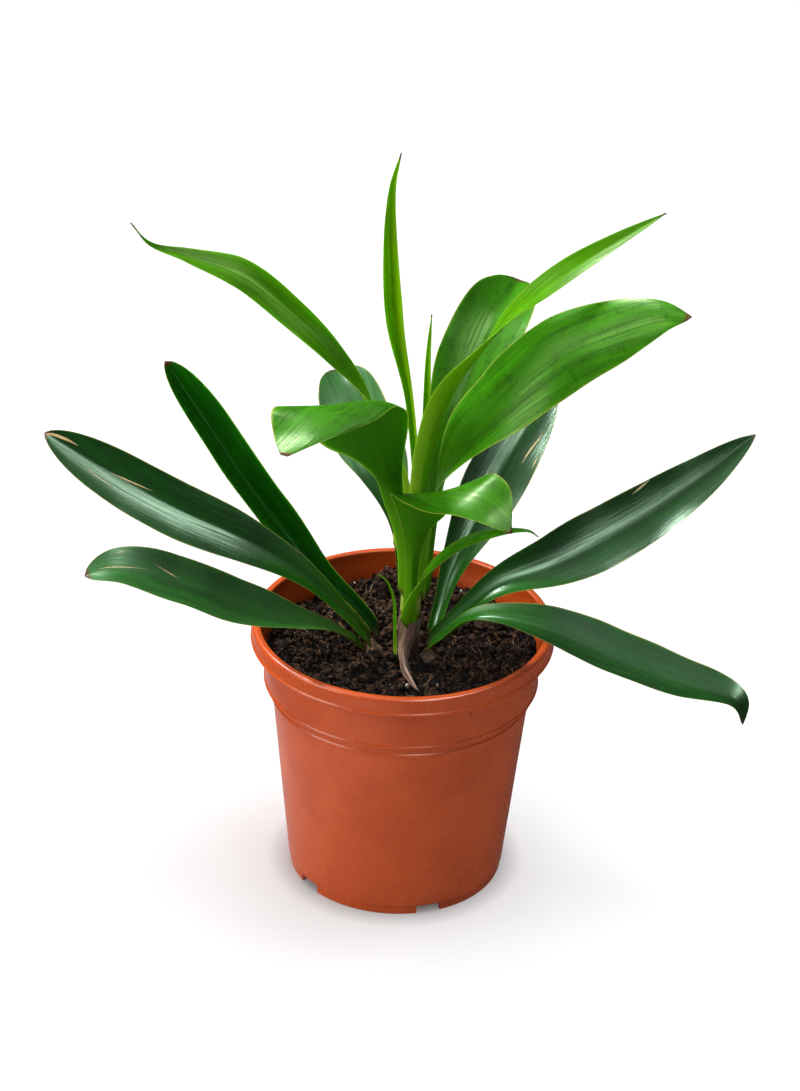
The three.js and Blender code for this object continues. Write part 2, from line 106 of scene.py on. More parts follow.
def new_material(name):
    """Makes an empty material and returns it with its node tree."""
    material = bpy.data.materials.new(name)
    material.use_nodes = True
    material.node_tree.nodes.clear()
    return material, material.node_tree


def finish_material(tree, shader):
    """Links a shader to the surface."""
    add_node(tree, "OutputMaterial", {"Surface": shader})


def grained_material(name, colours, grain_mm, spread, surface, relief_mm=0.0, stretch=(1, 1, 1),
                     detail=4.0, ragged=0.7, on_blade=False):
    """A dry or earthy matter: its grain mixes two colours and roughens it, and stretch draws it out."""
    material, tree = new_material(name)
    if on_blade:
        place, millimetre = add_node(tree, "Attribute", attribute_name="blade_mm").outputs["Vector"], 1
    else:
        place, millimetre = add_node(tree, "NewGeometry").outputs["Position"], MM
    drawn_out = add_node(tree, "Mapping", {"Vector": place, "Scale": stretch})
    grain = add_node(tree, "TexNoise", {
        "Vector": drawn_out, "Scale": 1 / (grain_mm * millimetre), "Detail": detail, "Roughness": ragged})
    ramp = add_node(tree, "MapRange", {"Value": grain, "From Min": spread[0], "From Max": spread[1]})
    colour = add_node(tree, "Mix", {"Factor": ramp, "A": colours[0], "B": colours[1]}, data_type="RGBA")
    relief = add_node(tree, "Bump", {"Height": grain, "Strength": 1.0, "Distance": relief_mm * MM})
    shader = add_node(tree, "BsdfPrincipled", {"Base Color": colour, "Normal": relief, **surface})
    finish_material(tree, shader)
    return material


def ring_quads(first, rings, around, falling=False):
    """Faces that join rings of points, each ring above the one before, or below it when falling."""
    faces = []
    for low in range(first, first + (rings - 1) * around, around):
        for j in range(around):
            k = (j + 1) % around
            quad = (low + j, low + k, low + around + k, low + around + j)
            faces.append(quad[:1] + quad[:0:-1] if falling else quad)
    return faces


# %% [markdown]
# ## Camera, light and floor
#
# The object is seen from the front and a little above, through a long lens, so its lines
# hardly converge. The light is a product studio's. A big soft box in front on the left
# models the pot. A small one behind on the left, high up, shines through the young leaves
# and puts bright streaks on them. One overhead fills the shadows. A long strip box shows in
# gloss only, and draws the sheen along the blades. The room has a white ceiling and dark
# walls. The table is opal acrylic, lit from below. Its glow is cut out where the pot stands,
# which paints a contact shadow there. It has a lamp of its own, and flags keep the others off
# it, so a soft shadow lies round the foot. Its image in the gloss is dimmed, as a polarising
# filter does, except for a brighter band left of the pot: a painted reflection that brightens
# the pot's left side.

# %% Camera
POT_HEIGHT = 158
CAMERA_DISTANCE = 1970
CAMERA_PITCH = math.radians(29.3)
CAMERA_ROLL = math.radians(1.86)
CAMERA_RIGHT = -3.0
CAMERA_UP = 42.2
LENS = 115.5

right = Vector((1, 0, 0))
up = Vector((0, math.sin(CAMERA_PITCH), math.cos(CAMERA_PITCH)))
back = Vector((0, -math.cos(CAMERA_PITCH), math.sin(CAMERA_PITCH)))
aim = Vector((0, 0, POT_HEIGHT))
place = aim + CAMERA_DISTANCE * back + CAMERA_RIGHT * right + CAMERA_UP * up
rolled_right = math.cos(CAMERA_ROLL) * right + math.sin(CAMERA_ROLL) * up
rolled_up = math.cos(CAMERA_ROLL) * up - math.sin(CAMERA_ROLL) * right

camera_data = bpy.data.cameras.new("camera")
camera_data.lens = LENS
camera_data.sensor_width = 36
camera_data.clip_start = 0.05
camera_data.clip_end = 50
camera = bpy.data.objects.new("camera", camera_data)
scene.collection.objects.link(camera)
turn = Matrix((rolled_right, rolled_up, back)).transposed().to_4x4()
camera.matrix_world = Matrix.Translation(place * MM) @ turn
scene.camera = camera
print("camera at", [round(c, 3) for c in camera.matrix_world.translation])

# %% Lights and room


def soft_box(name, spot, target, size, power, colour, spin=0):
    """Hangs a soft box at a spot, facing a target and spun about that line. Lengths are in metres."""
    light = bpy.data.lights.new(name, "AREA")
    light.shape = "RECTANGLE"
    light.size, light.size_y = size
    light.energy = power
    light.color = linear(colour)[:3]
    lamp = bpy.data.objects.new(name, light)
    lamp.location = spot
    facing = (Vector(target) - Vector(spot)).to_track_quat("-Z", "Y").to_matrix()
    lamp.rotation_euler = (facing @ Matrix.Rotation(math.radians(spin), 3, "Z")).to_euler()
    scene.collection.objects.link(lamp)
    return lamp


key_light = soft_box("key_light", (-3.0, -1.45, 1.75), (0, 0, 0.15), (2.2, 2.2), 100, "#FFFBF4")
top_light = soft_box("top_light", (-0.2, 0.3, 3.4), (0, 0, 0.2), (2.6, 1.8), 50, "#FFFFFF")
top_light.visible_glossy = False
back_light = soft_box("back_light", (-1.5, 1.2, 2.5), (0, 0, 0.2), (0.55, 0.55), 120, "#FFFFFF")
table_light = soft_box("table_light", (0.1, 0.2, 3.2), (0, 0, 0), (2.4, 2.4), 120, "#FFFFFF")
sheen_light = soft_box("sheen_light", (0.95, -1.3, 2.4), (0, 0, 0.2), (2.9, 0.8), 115, "#FFFFFF", 42)
sheen_light.visible_diffuse = False

world = bpy.data.worlds.new("studio_room")
world.use_nodes = True
room = world.node_tree
room.nodes.clear()
direction = add_node(room, "TexCoord").outputs["Generated"]
height = add_node(room, "SeparateXYZ", {"Vector": direction}).outputs["Z"]
ceiling = add_node(room, "MapRange", {
    "Value": height, "From Min": 0.55, "From Max": 1.0, "To Min": 0.09, "To Max": 0.9})
walls = add_node(room, "Background", {"Color": "#FFFFFF", "Strength": ceiling})
add_node(room, "OutputWorld", {"Surface": walls})
scene.world = world
scene.view_settings.view_transform = "Standard"
print("lamps and room placed")

# %% The table
# Round the pot's foot the table's glow is cut out: a painted contact shadow.
FOOT_SHADE, FOOT_SHADE_END = 0.05, 0.075
TABLE_GLOW = 0.5
# Where the band of painted reflection lies in the table's gloss image: its middle left of the pot, and
# where it fades.
PAINTED_REFLECTION_MIDDLE, PAINTED_REFLECTION_NEAR, PAINTED_REFLECTION_FAR = -0.14, 0.02, 0.16
TABLE_REACH = 8


def opal_acrylic():
    """Acrylic lit from below: an even white, with a painted contact shadow under the pot's foot. In gloss
    it is dim, except for a band of painted reflection left of the pot.
    """
    material, tree = new_material("opal_acrylic_table")
    spot = add_node(tree, "NewGeometry").outputs["Position"]
    # The glow fades to nothing under the pot's foot: painted contact shadow, not a property of the
    # acrylic.
    from_pot = add_node(tree, "VectorMath", {0: spot}, operation="LENGTH")
    lit = add_node(tree, "MapRange", {
        "Value": from_pot, "From Min": FOOT_SHADE, "From Max": FOOT_SHADE_END, "To Max": TABLE_GLOW})
    acrylic = add_node(tree, "BsdfPrincipled", {
        "Base Color": "#BABBBC", "Roughness": 0.9, "Specular IOR Level": 0.1,
        "Emission Color": "#FFFFFF", "Emission Strength": lit})
    # In gloss the table is a dim glow with a brighter band left of the pot: a painted reflection that puts
    # a highlight on the pot's left side.
    spot_x = add_node(tree, "SeparateXYZ", {"Vector": spot}).outputs["X"]
    sideways = add_node(tree, "Math", {0: spot_x, 1: -PAINTED_REFLECTION_MIDDLE}, operation="ADD")
    away = add_node(tree, "Math", {0: sideways}, operation="ABSOLUTE")
    glow = add_node(tree, "MapRange", {
        "Value": away, "From Min": PAINTED_REFLECTION_NEAR, "From Max": PAINTED_REFLECTION_FAR, "To Min": 0.55, "To Max": 0.08})
    dim_with_painted_reflection = add_node(tree, "Emission", {"Color": "#FFFFFF", "Strength": glow})
    is_gloss = add_node(tree, "LightPath").outputs["Is Glossy Ray"]
    polarised_with_painted_reflection = add_node(tree, "MixShader", {0: is_gloss, 1: acrylic, 2: dim_with_painted_reflection})
    finish_material(tree, polarised_with_painted_reflection)
    return material


def light_list(name, table, state="INCLUDE"):
    """A collection that lets a lamp light the table alone, or keeps it off the table."""
    receivers = bpy.data.collections.new(name)
    receivers.objects.link(table)
    receivers.collection_objects[0].light_linking.link_state = state
    return receivers


corners = [(TABLE_REACH * x, TABLE_REACH * y, 0) for x, y in ((-1, -1), (1, -1), (1, 1), (-1, 1))]
floor_mesh = bpy.data.meshes.new("floor")
floor_mesh.from_pydata(corners, [], [(0, 1, 2, 3)])
floor_mesh.materials.append(opal_acrylic())
floor = bpy.data.objects.new("floor", floor_mesh)
scene.collection.objects.link(floor)
flagged = light_list("flagged_off", floor, "EXCLUDE")
for lamp in (key_light, back_light, top_light):
    lamp.light_linking.receiver_collection = flagged
table_light.light_linking.receiver_collection = light_list("table_only", floor)
print("table placed, glow", TABLE_GLOW)

# %% [markdown]
# ## The pot
#
# A nursery pot is injection moulded from polypropylene coloured right through. The surface
# is satin, with faint swirls where the plastic flowed, fine upright scuffs from being pulled
# out of a stack, and a dusting of dirt. The shape is one profile turned about the axis, so a
# lathe is the right tool. Each corner is rounded, because a mould has no sharp corners, with
# an extra point beside each rounding, so that the flats between them shade flat. Thin beads
# under the lip, the band and the step catch the light as fine lines. The foot ring is open
# in five places, so water can run out: there the turned points at the bottom are lifted.

# %% Polypropylene for the pot


def polypropylene():
    """Coloured polypropylene: satin, slightly waxy, with flow marks, upright scuffs and pale dust."""
    material, tree = new_material("moulded_polypropylene")
    here = add_node(tree, "NewGeometry").outputs["Position"]
    scuff_mm, flow_mm, speck_mm = 1.1, 28, 0.9
    stretched = add_node(tree, "Mapping", {"Vector": here, "Scale": (1.0, 1.0, 0.35)})
    scuffs = add_node(tree, "TexNoise", {
        "Vector": stretched, "Scale": 1 / (scuff_mm * MM), "Detail": 3.0, "Roughness": 0.7})
    flow = add_node(tree, "TexNoise", {
        "Vector": here, "Scale": 1 / (flow_mm * MM), "Detail": 4.0, "Distortion": 0.6})
    specks = add_node(tree, "TexNoise", {"Vector": here, "Scale": 1 / (speck_mm * MM), "Detail": 1.0})
    shade = add_node(tree, "MapRange", {"Value": flow, "From Min": 0.35, "From Max": 0.65})
    body = add_node(tree, "Mix", {"Factor": shade, "A": "#AE4210", "B": "#B84A16"}, data_type="RGBA")
    dust_mask = add_node(tree, "MapRange", {
        "Value": specks, "From Min": 0.7, "From Max": 0.8, "To Max": 0.15})
    dusty = add_node(tree, "Mix", {"Factor": dust_mask, "A": body, "B": "#D89A7C"}, data_type="RGBA")
    satin = add_node(tree, "MapRange", {
        "Value": scuffs, "From Min": 0.3, "From Max": 0.7, "To Min": 0.26, "To Max": 0.3})
    relief = add_node(tree, "Bump", {"Height": scuffs, "Strength": 0.06, "Distance": 0.04 * MM})
    shader = add_node(tree, "BsdfPrincipled", {
        "Base Color": dusty, "Roughness": satin, "IOR": 1.49, "Normal": relief})
    finish_material(tree, shader)
    return material


pot_plastic = polypropylene()
print("material:", pot_plastic.name)

# %% Turn the pot
BASE_RADIUS = 62
POT_RADIUS = 85
WALL = 1.5
FOOT_HEIGHT = 5.5
FOOT_WIDTH = 2.6
LIP_BOTTOM = POT_HEIGHT - 11
BAND_BOTTOM = POT_HEIGHT - 37
STEP_BOTTOM = POT_HEIGHT - 44
NOTCH_ANGLES = [-71 + 72 * i for i in range(5)]
NOTCH_WIDTH = 14
NOTCH_HEIGHT = 5
FOOT_OUTER = BASE_RADIUS - 0.8
FLOOR_TOP = FOOT_HEIGHT + WALL
LIP_INNER = POT_RADIUS - 4.6
FLAT_HOLD = 0.35
ROUNDING_STEPS = 5
MOST_OF_SIDE = 0.45
NOTCH_EDGE = 0.25
DRAIN_RADIUS = 4
DRAIN_CIRCLE = 38


def rounded(corners):
    """Rounds the corners of a profile. Each corner is a radius, a height and its rounding."""
    path = [np.array(corners[0][:2], float)]
    for before, corner, after in zip(corners, corners[1:], corners[2:]):
        tip = np.array(corner[:2], float)
        to_before = np.array(before[:2]) - tip
        to_after = np.array(after[:2]) - tip
        length_before, length_after = np.linalg.norm(to_before), np.linalg.norm(to_after)
        reach_before = min(corner[2], MOST_OF_SIDE * length_before)
        reach_after = min(corner[2], MOST_OF_SIDE * length_after)
        back_way, on_way = to_before / length_before, to_after / length_after
        start, end = tip + back_way * reach_before, tip + on_way * reach_after
        if length_before > 2 * (reach_before + FLAT_HOLD):
            path.append(start + back_way * FLAT_HOLD)
        for t in np.linspace(0, 1, ROUNDING_STEPS):
            path.append((1 - t) ** 2 * start + 2 * t * (1 - t) * tip + t * t * end)
        if length_after > 2 * (reach_after + FLAT_HOLD):
            path.append(end + on_way * FLAT_HOLD)
    path.append(np.array(corners[-1][:2], float))
    return path


def pot_profile():
    """The pot's outline from the middle of its underside, up the outside and down the inside."""
    return rounded([
        (0, FOOT_HEIGHT, 0),
        (FOOT_OUTER - FOOT_WIDTH, FOOT_HEIGHT, 0.3),
        (FOOT_OUTER - FOOT_WIDTH, 0, 0.4),
        (FOOT_OUTER, 0, 0.5),
        (FOOT_OUTER - 0.1, FOOT_HEIGHT - 0.1, 0.2),
        (BASE_RADIUS + 0.2, FOOT_HEIGHT + 0.3, 0.4),
        (73, STEP_BOTTOM - 0.2, 0.5),
        (74.2, STEP_BOTTOM + 0.2, 0.4),
        (75.0, STEP_BOTTOM + 1.3, 0.6),
        (74.1, STEP_BOTTOM + 2.6, 0.4),
        (74.2, BAND_BOTTOM, 0.5),
        (77.3, BAND_BOTTOM + 0.1, 0.4),
        (78.1, BAND_BOTTOM + 1.3, 0.6),
        (77.3, BAND_BOTTOM + 2.6, 0.4),
        (78.4, LIP_BOTTOM, 0.6),
        (POT_RADIUS - 0.2, LIP_BOTTOM, 0.4),
        (POT_RADIUS + 0.8, LIP_BOTTOM + 1.2, 0.6),
        (POT_RADIUS - 0.1, LIP_BOTTOM + 2.5, 0.5),
        (POT_RADIUS - 0.1, POT_HEIGHT, 2.6),
        (LIP_INNER, POT_HEIGHT, 1.2),
        (LIP_INNER - 0.5, LIP_BOTTOM + 5, 4.0),
        (POT_RADIUS - 8.6, LIP_BOTTOM - 8, 5.0),
        (76, BAND_BOTTOM + 2.2, 1.0),
        (72.4, BAND_BOTTOM - 1.4, 1.0),
        (73 - WALL + 0.4, STEP_BOTTOM, 1.0),
        (BASE_RADIUS - WALL, FLOOR_TOP, 1.2),
        (0, FLOOR_TOP, 0),
    ])


def pot_columns():
    """Angles round the pot in degrees, each with whether it stands in a notch of the foot."""
    half = math.degrees(NOTCH_WIDTH / 2 / FOOT_OUTER)
    angles = set(map(float, range(0, 360, 2)))
    for middle in NOTCH_ANGLES:
        for offset in (-half - NOTCH_EDGE, -half, half, half + NOTCH_EDGE):
            angles.add((middle + offset) % 360)
    columns = []
    for angle in sorted(angles):
        away = min(abs((angle - middle + 180) % 360 - 180) for middle in NOTCH_ANGLES)
        columns.append((angle, away <= half + NOTCH_EDGE / 2))
    return columns


def turned_pot():
    """Points and faces of the pot: a ring for each point of the profile, closed by a fan at each end."""
    profile, columns = pot_profile(), pot_columns()
    rings, around = len(profile) - 2, len(columns)
    points = []
    for radius, height in profile[1:-1]:
        for angle, notched in columns:
            turn = math.radians(angle)
            lifted = max(height, NOTCH_HEIGHT) if notched else height
            points.append((radius * math.cos(turn), radius * math.sin(turn), lifted))
    last_ring, under, over = len(points) - around, len(points), len(points) + 1
    points += [(0, 0, profile[0][1]), (0, 0, profile[-1][1])]
    faces = ring_quads(0, rings, around)
    for j in range(around):
        k = (j + 1) % around
        faces += [(under, k, j), (over, last_ring + j, last_ring + k)]
    return points, faces


pot = make_piece("pot_moulding", *turned_pot(), [pot_plastic], ["pot"], "pot_plastic")

# %% Drill the drain holes
DRILL_SIDES, DRILL_LENGTH = 32, 12
drills = []
for angle in NOTCH_ANGLES:
    turn = math.radians(angle)
    spot = Vector((DRAIN_CIRCLE * math.cos(turn), DRAIN_CIRCLE * math.sin(turn), FOOT_HEIGHT)) * MM
    bpy.ops.mesh.primitive_cylinder_add(
        vertices=DRILL_SIDES, radius=DRAIN_RADIUS * MM, depth=DRILL_LENGTH * MM, location=spot)
    drills.append(bpy.context.object)
with bpy.context.temp_override(active_object=drills[0], selected_editable_objects=drills):
    bpy.ops.object.join()
cut = pot.modifiers.new("drain", "BOOLEAN")
cut.object = drills[0]
cut.solver = "EXACT"
drained = bpy.data.meshes.new_from_object(pot.evaluated_get(bpy.context.evaluated_depsgraph_get()))
pot.modifiers.clear()
pot.data = drained
bpy.data.objects.remove(drills[0])
print("pot faces:", len(pot.data.polygons))

# %% [markdown]
# ## Leaves
#
# A cordyline leaf is a strap: a channelled stalk that widens into a blade with a shallow
# crease along its midrib, many veins side by side, and a thin waved edge. One rule makes
# them all. The midrib is a smooth curve through a few places. At each place the blade's
# upper side faces a chosen way, which gives the twists. The width grows out of the stalk and
# tapers to the tip. Across, each half is part of an arc, turned up by a fold. Two blades
# roll right over, and are drawn by their midrib and both edges instead. Near the base the
# edges run back to a point, as where a leaf clasps its stem. The places are the packed
# solids' own, in millimetres, so each finished leaf lies where its solid is.

# %% The leaves' places and forms
CHANNELLED = dict(fold=(10, 8, 8), curl=(70, 25, 20))
LEAVES = {
    "leaf_spear": dict(
        points=[(6, -6, 175), (6, -5, 238), (0, 2, 296), (-10, 8, 341), (-14, 12, 381), (-14, 14, 414),
                (-9, 14, 436)],
        faces=[(-.2, -1, 0), (-.2, -1, 0), (-.1, -1, 0), (.1, -1, .1), (.2, -1, .1), (.3, -1, .1),
               (.3, -1, .1)],
        width=15, stalk=7, blade=.45, widest=.68, sharp=1.5, full=.8,
        fold=(40, 45, 50), curl=(40, 5, 5), finish="tender"),
    "leaf_spear_young": dict(
        points=[(9, -4, 255), (9, -2, 298), (9, 0, 325), (10, 0, 349)],
        faces=[(0, -1, 0)] * 4,
        width=5, stalk=4, blade=.1, widest=.3, sharp=2, full=.8,
        fold=(30, 30, 30), curl=(20, 5, 5), finish="tender"),
    "leaf_right_arch": dict(
        points=[(7, -12, 204), (7, -14, 243), (10, -15, 275), (19, -17, 308), (36, -19, 335),
                (53, -20, 359), (77, -20, 383), (102, -16, 400), (131, -8, 416)],
        faces=[(-.2, 1, .2), (-.2, 1, .2), (-.2, 1, .2), (-.4, .8, .3), (-.6, .4, .5), (-.6, -.1, .8),
               (-.4, -.6, .7), (-.3, -.6, .75), (-.3, -.6, .75)],
        width=17, stalk=13, blade=.1, widest=.6, sharp=2.2, full=.9,
        fold=(5, 5, 5), curl=(70, 25, 20), finish="young"),
    "leaf_right_broad": dict(
        points=[(11, -14, 180), (15, -17, 238), (27, -20, 281), (48, -25, 312), (76, -34, 344),
                (104, -46, 365), (128, -54, 378), (144, -58, 380)],
        faces=[(-.6, .5, .2), (-.6, .2, .4), (-.5, -.4, .7), (-.4, -.6, .8), (-.2, -.75, .6),
               (-.05, -.75, .65), (.1, -.7, .7), (.3, -.5, .8)],
        width=46, stalk=11, blade=.17, widest=.58, sharp=2.4, full=.75,
        fold=(10, 4, -2, -4), curl=(70, 15, -24, -20), finish="fresh"),
    "leaf_left_arch": dict(
        points=[(-1, -8, 202), (-6, -2, 249), (-23, 8, 289), (-44, 16, 315), (-66, 22, 336),
                (-92, 26, 355), (-121, 26, 366), (-142, 23, 374), (-153, 22, 387)],
        faces=[(.3, .8, .3), (.4, .7, .3), (.5, .2, .7), (.4, -.5, .7), (-.1, -.7, .7)]
        + [(-.2, -.6, .8)] * 4,
        width=19, stalk=14, blade=.3, widest=.75, sharp=1.2, full=1.6,
        fold=(0, 8, 8), curl=(40, 25, 20), finish="young"),
    "leaf_back_broad": dict(
        points=[(11, -4, 174), (14, 4, 227), (22, 18, 270), (35, 42, 302), (45, 62, 319), (55, 84, 324),
                (60, 101, 324)],
        faces=[(-.1, -1, .2), (-.1, -1, .2), (-.1, -.9, .3), (-.1, -.9, .4), (0, -.8, .6), (.1, -.5, .9),
               (.2, -.1, 1)],
        width=44, stalk=10, blade=.32, widest=.66, sharp=2.6, full=.6,
        **CHANNELLED, finish="fresh"),
    "leaf_left_back": dict(
        points=[(1, -4, 174), (-4, 6, 213), (-14, 20, 243), (-29, 38, 264), (-36, 54, 276),
                (-41, 68, 281)],
        faces=[(.1, -1, .2), (.2, -1, .2), (.2, -.9, .3), (.1, -.9, .4), (0, -.7, .7), (-.1, -.3, .95)],
        width=40, stalk=10, blade=.25, widest=.68, sharp=2.8, full=.5,
        **CHANNELLED, finish="aged"),
    "leaf_left_curled": dict(
        points=[(1, -16, 181), (0, -20, 218), (-7, -24, 249), (-11, -29, 269), (-17, -33, 287),
                (-22, -38, 306), (-28, -45, 318), (-36, -55, 319), (-44, -66, 317), (-54, -76, 312),
                (-65, -84, 305)],
        right_edge=[(5, -14, 180), (4, -18, 218), (-2, -21, 250), (-3, -23, 271), (-1, -27, 290),
                    (-1, -33, 306), (-8, -44, 315), (-18, -58, 314), (-32, -70, 313), (-45, -80, 312),
                    (-63, -85, 305)],
        left_edge=[(-3, -15, 180), (-5, -19, 217), (-13, -23, 247), (-18, -30, 265), (-30, -38, 280),
                   (-45, -42, 289), (-58, -46, 304), (-68, -50, 316), (-73, -58, 317), (-71, -70, 309),
                   (-67, -83, 305)],
        finish="fresh"),
    "leaf_front_curled": dict(
        points=[(3, -20, 157), (4, -23, 185), (4, -26, 212), (6, -30, 230), (6, -34, 247), (6, -38, 259),
                (13, -45, 264), (23, -54, 267), (34, -62, 270), (45, -69, 268), (56, -75, 258)],
        right_edge=[(9, -18, 156), (7, -21, 184), (8, -23, 212), (13, -26, 231), (21, -30, 243),
                    (26, -34, 255), (30, -39, 266), (38, -44, 274), (47, -52, 281), (55, -62, 276),
                    (56, -73, 260)],
        left_edge=[(-2, -18, 156), (0, -21, 184), (0, -24, 212), (-2, -28, 232), (-6, -33, 248),
                   (-9, -39, 260), (-2, -50, 261), (11, -62, 262), (26, -72, 266), (40, -76, 264),
                   (53, -76, 259)],
        finish="fresh"),
    "leaf_front_slim": dict(
        points=[(2, -22, 166), (7, -26, 188), (17, -32, 211), (33, -40, 231), (52, -48, 243),
                (65, -54, 248), (71, -58, 247)],
        faces=[(-.7, .3, .4), (-.6, .2, .6), (-.5, -.1, .8), (-.3, -.3, .9), (-.1, -.3, .9),
               (.1, -.3, .9), (.4, -.3, .8)],
        width=13, stalk=13, blade=.1, widest=.3, sharp=1.5, full=.8,
        **CHANNELLED, finish="fresh"),
    "leaf_left_long": dict(
        points=[(-17, -14, 148), (-32, -16, 169), (-56, -18, 196), (-88, -20, 217), (-127, -18, 234),
                (-165, -12, 253), (-199, -4, 272)],
        faces=[(.5, -.3, .8), (.4, -.55, .75), (.2, -.75, .62), (.1, -.8, .56), (.1, -.8, .56),
               (.1, -.76, .6), (.1, -.76, .6)],
        width=35, stalk=11, blade=.1, widest=.62, sharp=3.2, full=.68,
        fold=(10, 12, 14), curl=(70, 30, 26), finish="dark"),
    "leaf_left_folded": dict(
        points=[(-13, -5, 149), (-28, 2, 166), (-50, 14, 181), (-72, 28, 202), (-94, 40, 227),
                (-115, 52, 254), (-138, 62, 285)],
        faces=[(.5, -.6, .6), (.42, -.68, .62), (.3, -.74, .62)] + [(.18, -.77, .62)] * 4,
        width=32, stalk=12, blade=.08, widest=.5, sharp=5, full=.6,
        fold=(15, 30, 42, 45, 42), curl=(70, 25, 8, 5), finish="shaded"),
    "leaf_left_low": dict(
        points=[(-20, -18, 148), (-29, -26, 160), (-42, -36, 173), (-63, -50, 186), (-91, -66, 203),
                (-122, -80, 223), (-150, -90, 237), (-169, -95, 235)],
        faces=[(.4, .2, .9), (.3, -.1, .9), (.1, -.3, .9), (.05, -.45, .9), (0, -.5, .9), (-.05, -.5, .9),
               (-.2, -.5, .85), (-.7, -.4, .6)],
        width=33, stalk=9, blade=.1, widest=.58, sharp=3.4, full=.55,
        fold=(10, 8, 8), curl=(60, 25, 20), finish="aged"),
    "leaf_right_long": dict(
        points=[(13, -14, 148), (28, -8, 163), (54, 2, 182), (87, 14, 192), (126, 28, 209),
                (163, 42, 231), (195, 54, 255)],
        faces=[(-.5, -.3, .8), (-.4, -.5, .8), (-.3, -.7, .7), (-.2, -.8, .6), (-.2, -.8, .6),
               (-.15, -.8, .6), (-.1, -.8, .6)],
        width=38, stalk=11, blade=.06, widest=.5, sharp=2, full=.74,
        **CHANNELLED, finish="dark"),
    "leaf_right_low": dict(
        points=[(12, -18, 148), (23, -23, 161), (42, -32, 180), (78, -46, 183), (114, -62, 176),
                (151, -79, 171.5), (179, -91, 169), (185, -95, 156)],
        faces=[(-.4, -.2, .9), (-.3, -.2, .9), (0, -.2, 1), (.2, -.35, .9), (.25, -.4, .9),
               (.3, -.4, .85), (.6, -.4, .65), (.9, -.4, .3)],
        width=34, stalk=9, blade=.06, widest=.55, sharp=2.6, full=.6,
        fold=(10, 8, 8), curl=(60, 25, 20), finish="dark"),
    "leaf_right_back": dict(
        points=[(17, -8, 147), (21, 4, 163), (28, 18, 185), (43, 38, 211), (59, 60, 236), (73, 82, 253),
                (82, 101, 261)],
        faces=[(-.4, -.8, .3), (-.3, -.85, .3), (-.2, -.9, .3), (-.2, -.9, .4), (-.2, -.9, .4),
               (-.1, -.9, .5), (0, -.8, .6)],
        width=38, stalk=11, blade=.12, widest=.58, sharp=2.2, full=.8,
        **CHANNELLED, finish="dark"),
    "sprout": dict(
        points=[(-3, -19, 141), (-4, -19, 165), (-5, -18, 181), (-9, -17, 192), (-15, -16, 197)],
        faces=[(-.6, -.6, .2)] * 5,
        width=3, stalk=3.4, blade=.1, widest=.3, sharp=2, full=.8,
        fold=(10, 8, 8), curl=(40, 25, 20), finish="young"),
    "dry_sheath": dict(
        points=[(4, -22, 169), (3, -24, 162), (1, -27, 155), (2, -35, 150), (6, -48, 149),
                (10, -62, 150)],
        faces=[(0, -1, .1), (0, -1, .2), (0, -.7, .7), (0, -.3, 1), (.2, -.2, 1), (.3, -.2, 1)],
        width=9, stalk=27, blade=.05, widest=.42, sharp=1.1, full=.8, vee=-6,
        fold=(-10, -20, -30, -40, -45), curl=(-105, -85, -50, -30, -20), finish="dry"),
}
print("leaves:", len(LEAVES))

# %% The rule for a blade
BLADE_THICKNESS = 0.5
LEAST_WIDTH = 0.8
LEAST_CURL = 1e-5
EDGE_WAVE = 0.025
BASE_VEE = 8
BASE_REACH = 10
RIB_DEPTH, RIB_SPREAD = 0.35, 0.08
GROOVE_DEPTH, GROOVE_SPREAD = 0.25, 0.05


def through(places, t):
    """A smooth curve through places, at shares t of the way from the first to the last."""
    places = np.asarray(places, float)
    ends = [2 * places[0] - places[1]], [2 * places[-1] - places[-2]]
    held = np.vstack([ends[0], places, ends[1]])
    spot = np.clip(t, 0, 1) * (len(places) - 1)
    low = np.minimum(spot.astype(int), len(places) - 2)
    w = (spot - low)[:, None]
    p0, p1, p2, p3 = held[low], held[low + 1], held[low + 2], held[low + 3]
    leave, arrive = (p2 - p0) / 2, (p3 - p1) / 2
    square = 3 * (p2 - p1) - 2 * leave - arrive
    cube = 2 * (p1 - p2) + leave + arrive
    return p1 + leave * w + square * w ** 2 + cube * w ** 3


def smooth_step(value):
    """Eases a share from 0 to 1."""
    value = np.clip(value, 0, 1)
    return value * value * (3 - 2 * value)


def unit(vectors):
    """The same directions, each one long."""
    return vectors / np.linalg.norm(vectors, axis=-1, keepdims=True)


def half_width(leaf, share):
    """Half of the blade's width in millimetres, at a share of its length."""
    grown = smooth_step((share - leaf["blade"]) / (leaf["widest"] - leaf["blade"]))
    taper = np.clip((share - leaf["widest"]) / (1 - leaf["widest"]), 0, 1)
    width = leaf["stalk"] + (leaf["width"] - leaf["stalk"]) * grown
    return np.maximum(width * (1 - taper ** leaf["sharp"]) ** leaf["full"], LEAST_WIDTH) / 2


def evenly(values, share):
    """Reads a short list of values as if spread evenly from base to tip."""
    return np.interp(share, np.linspace(0, 1, len(values)), values)


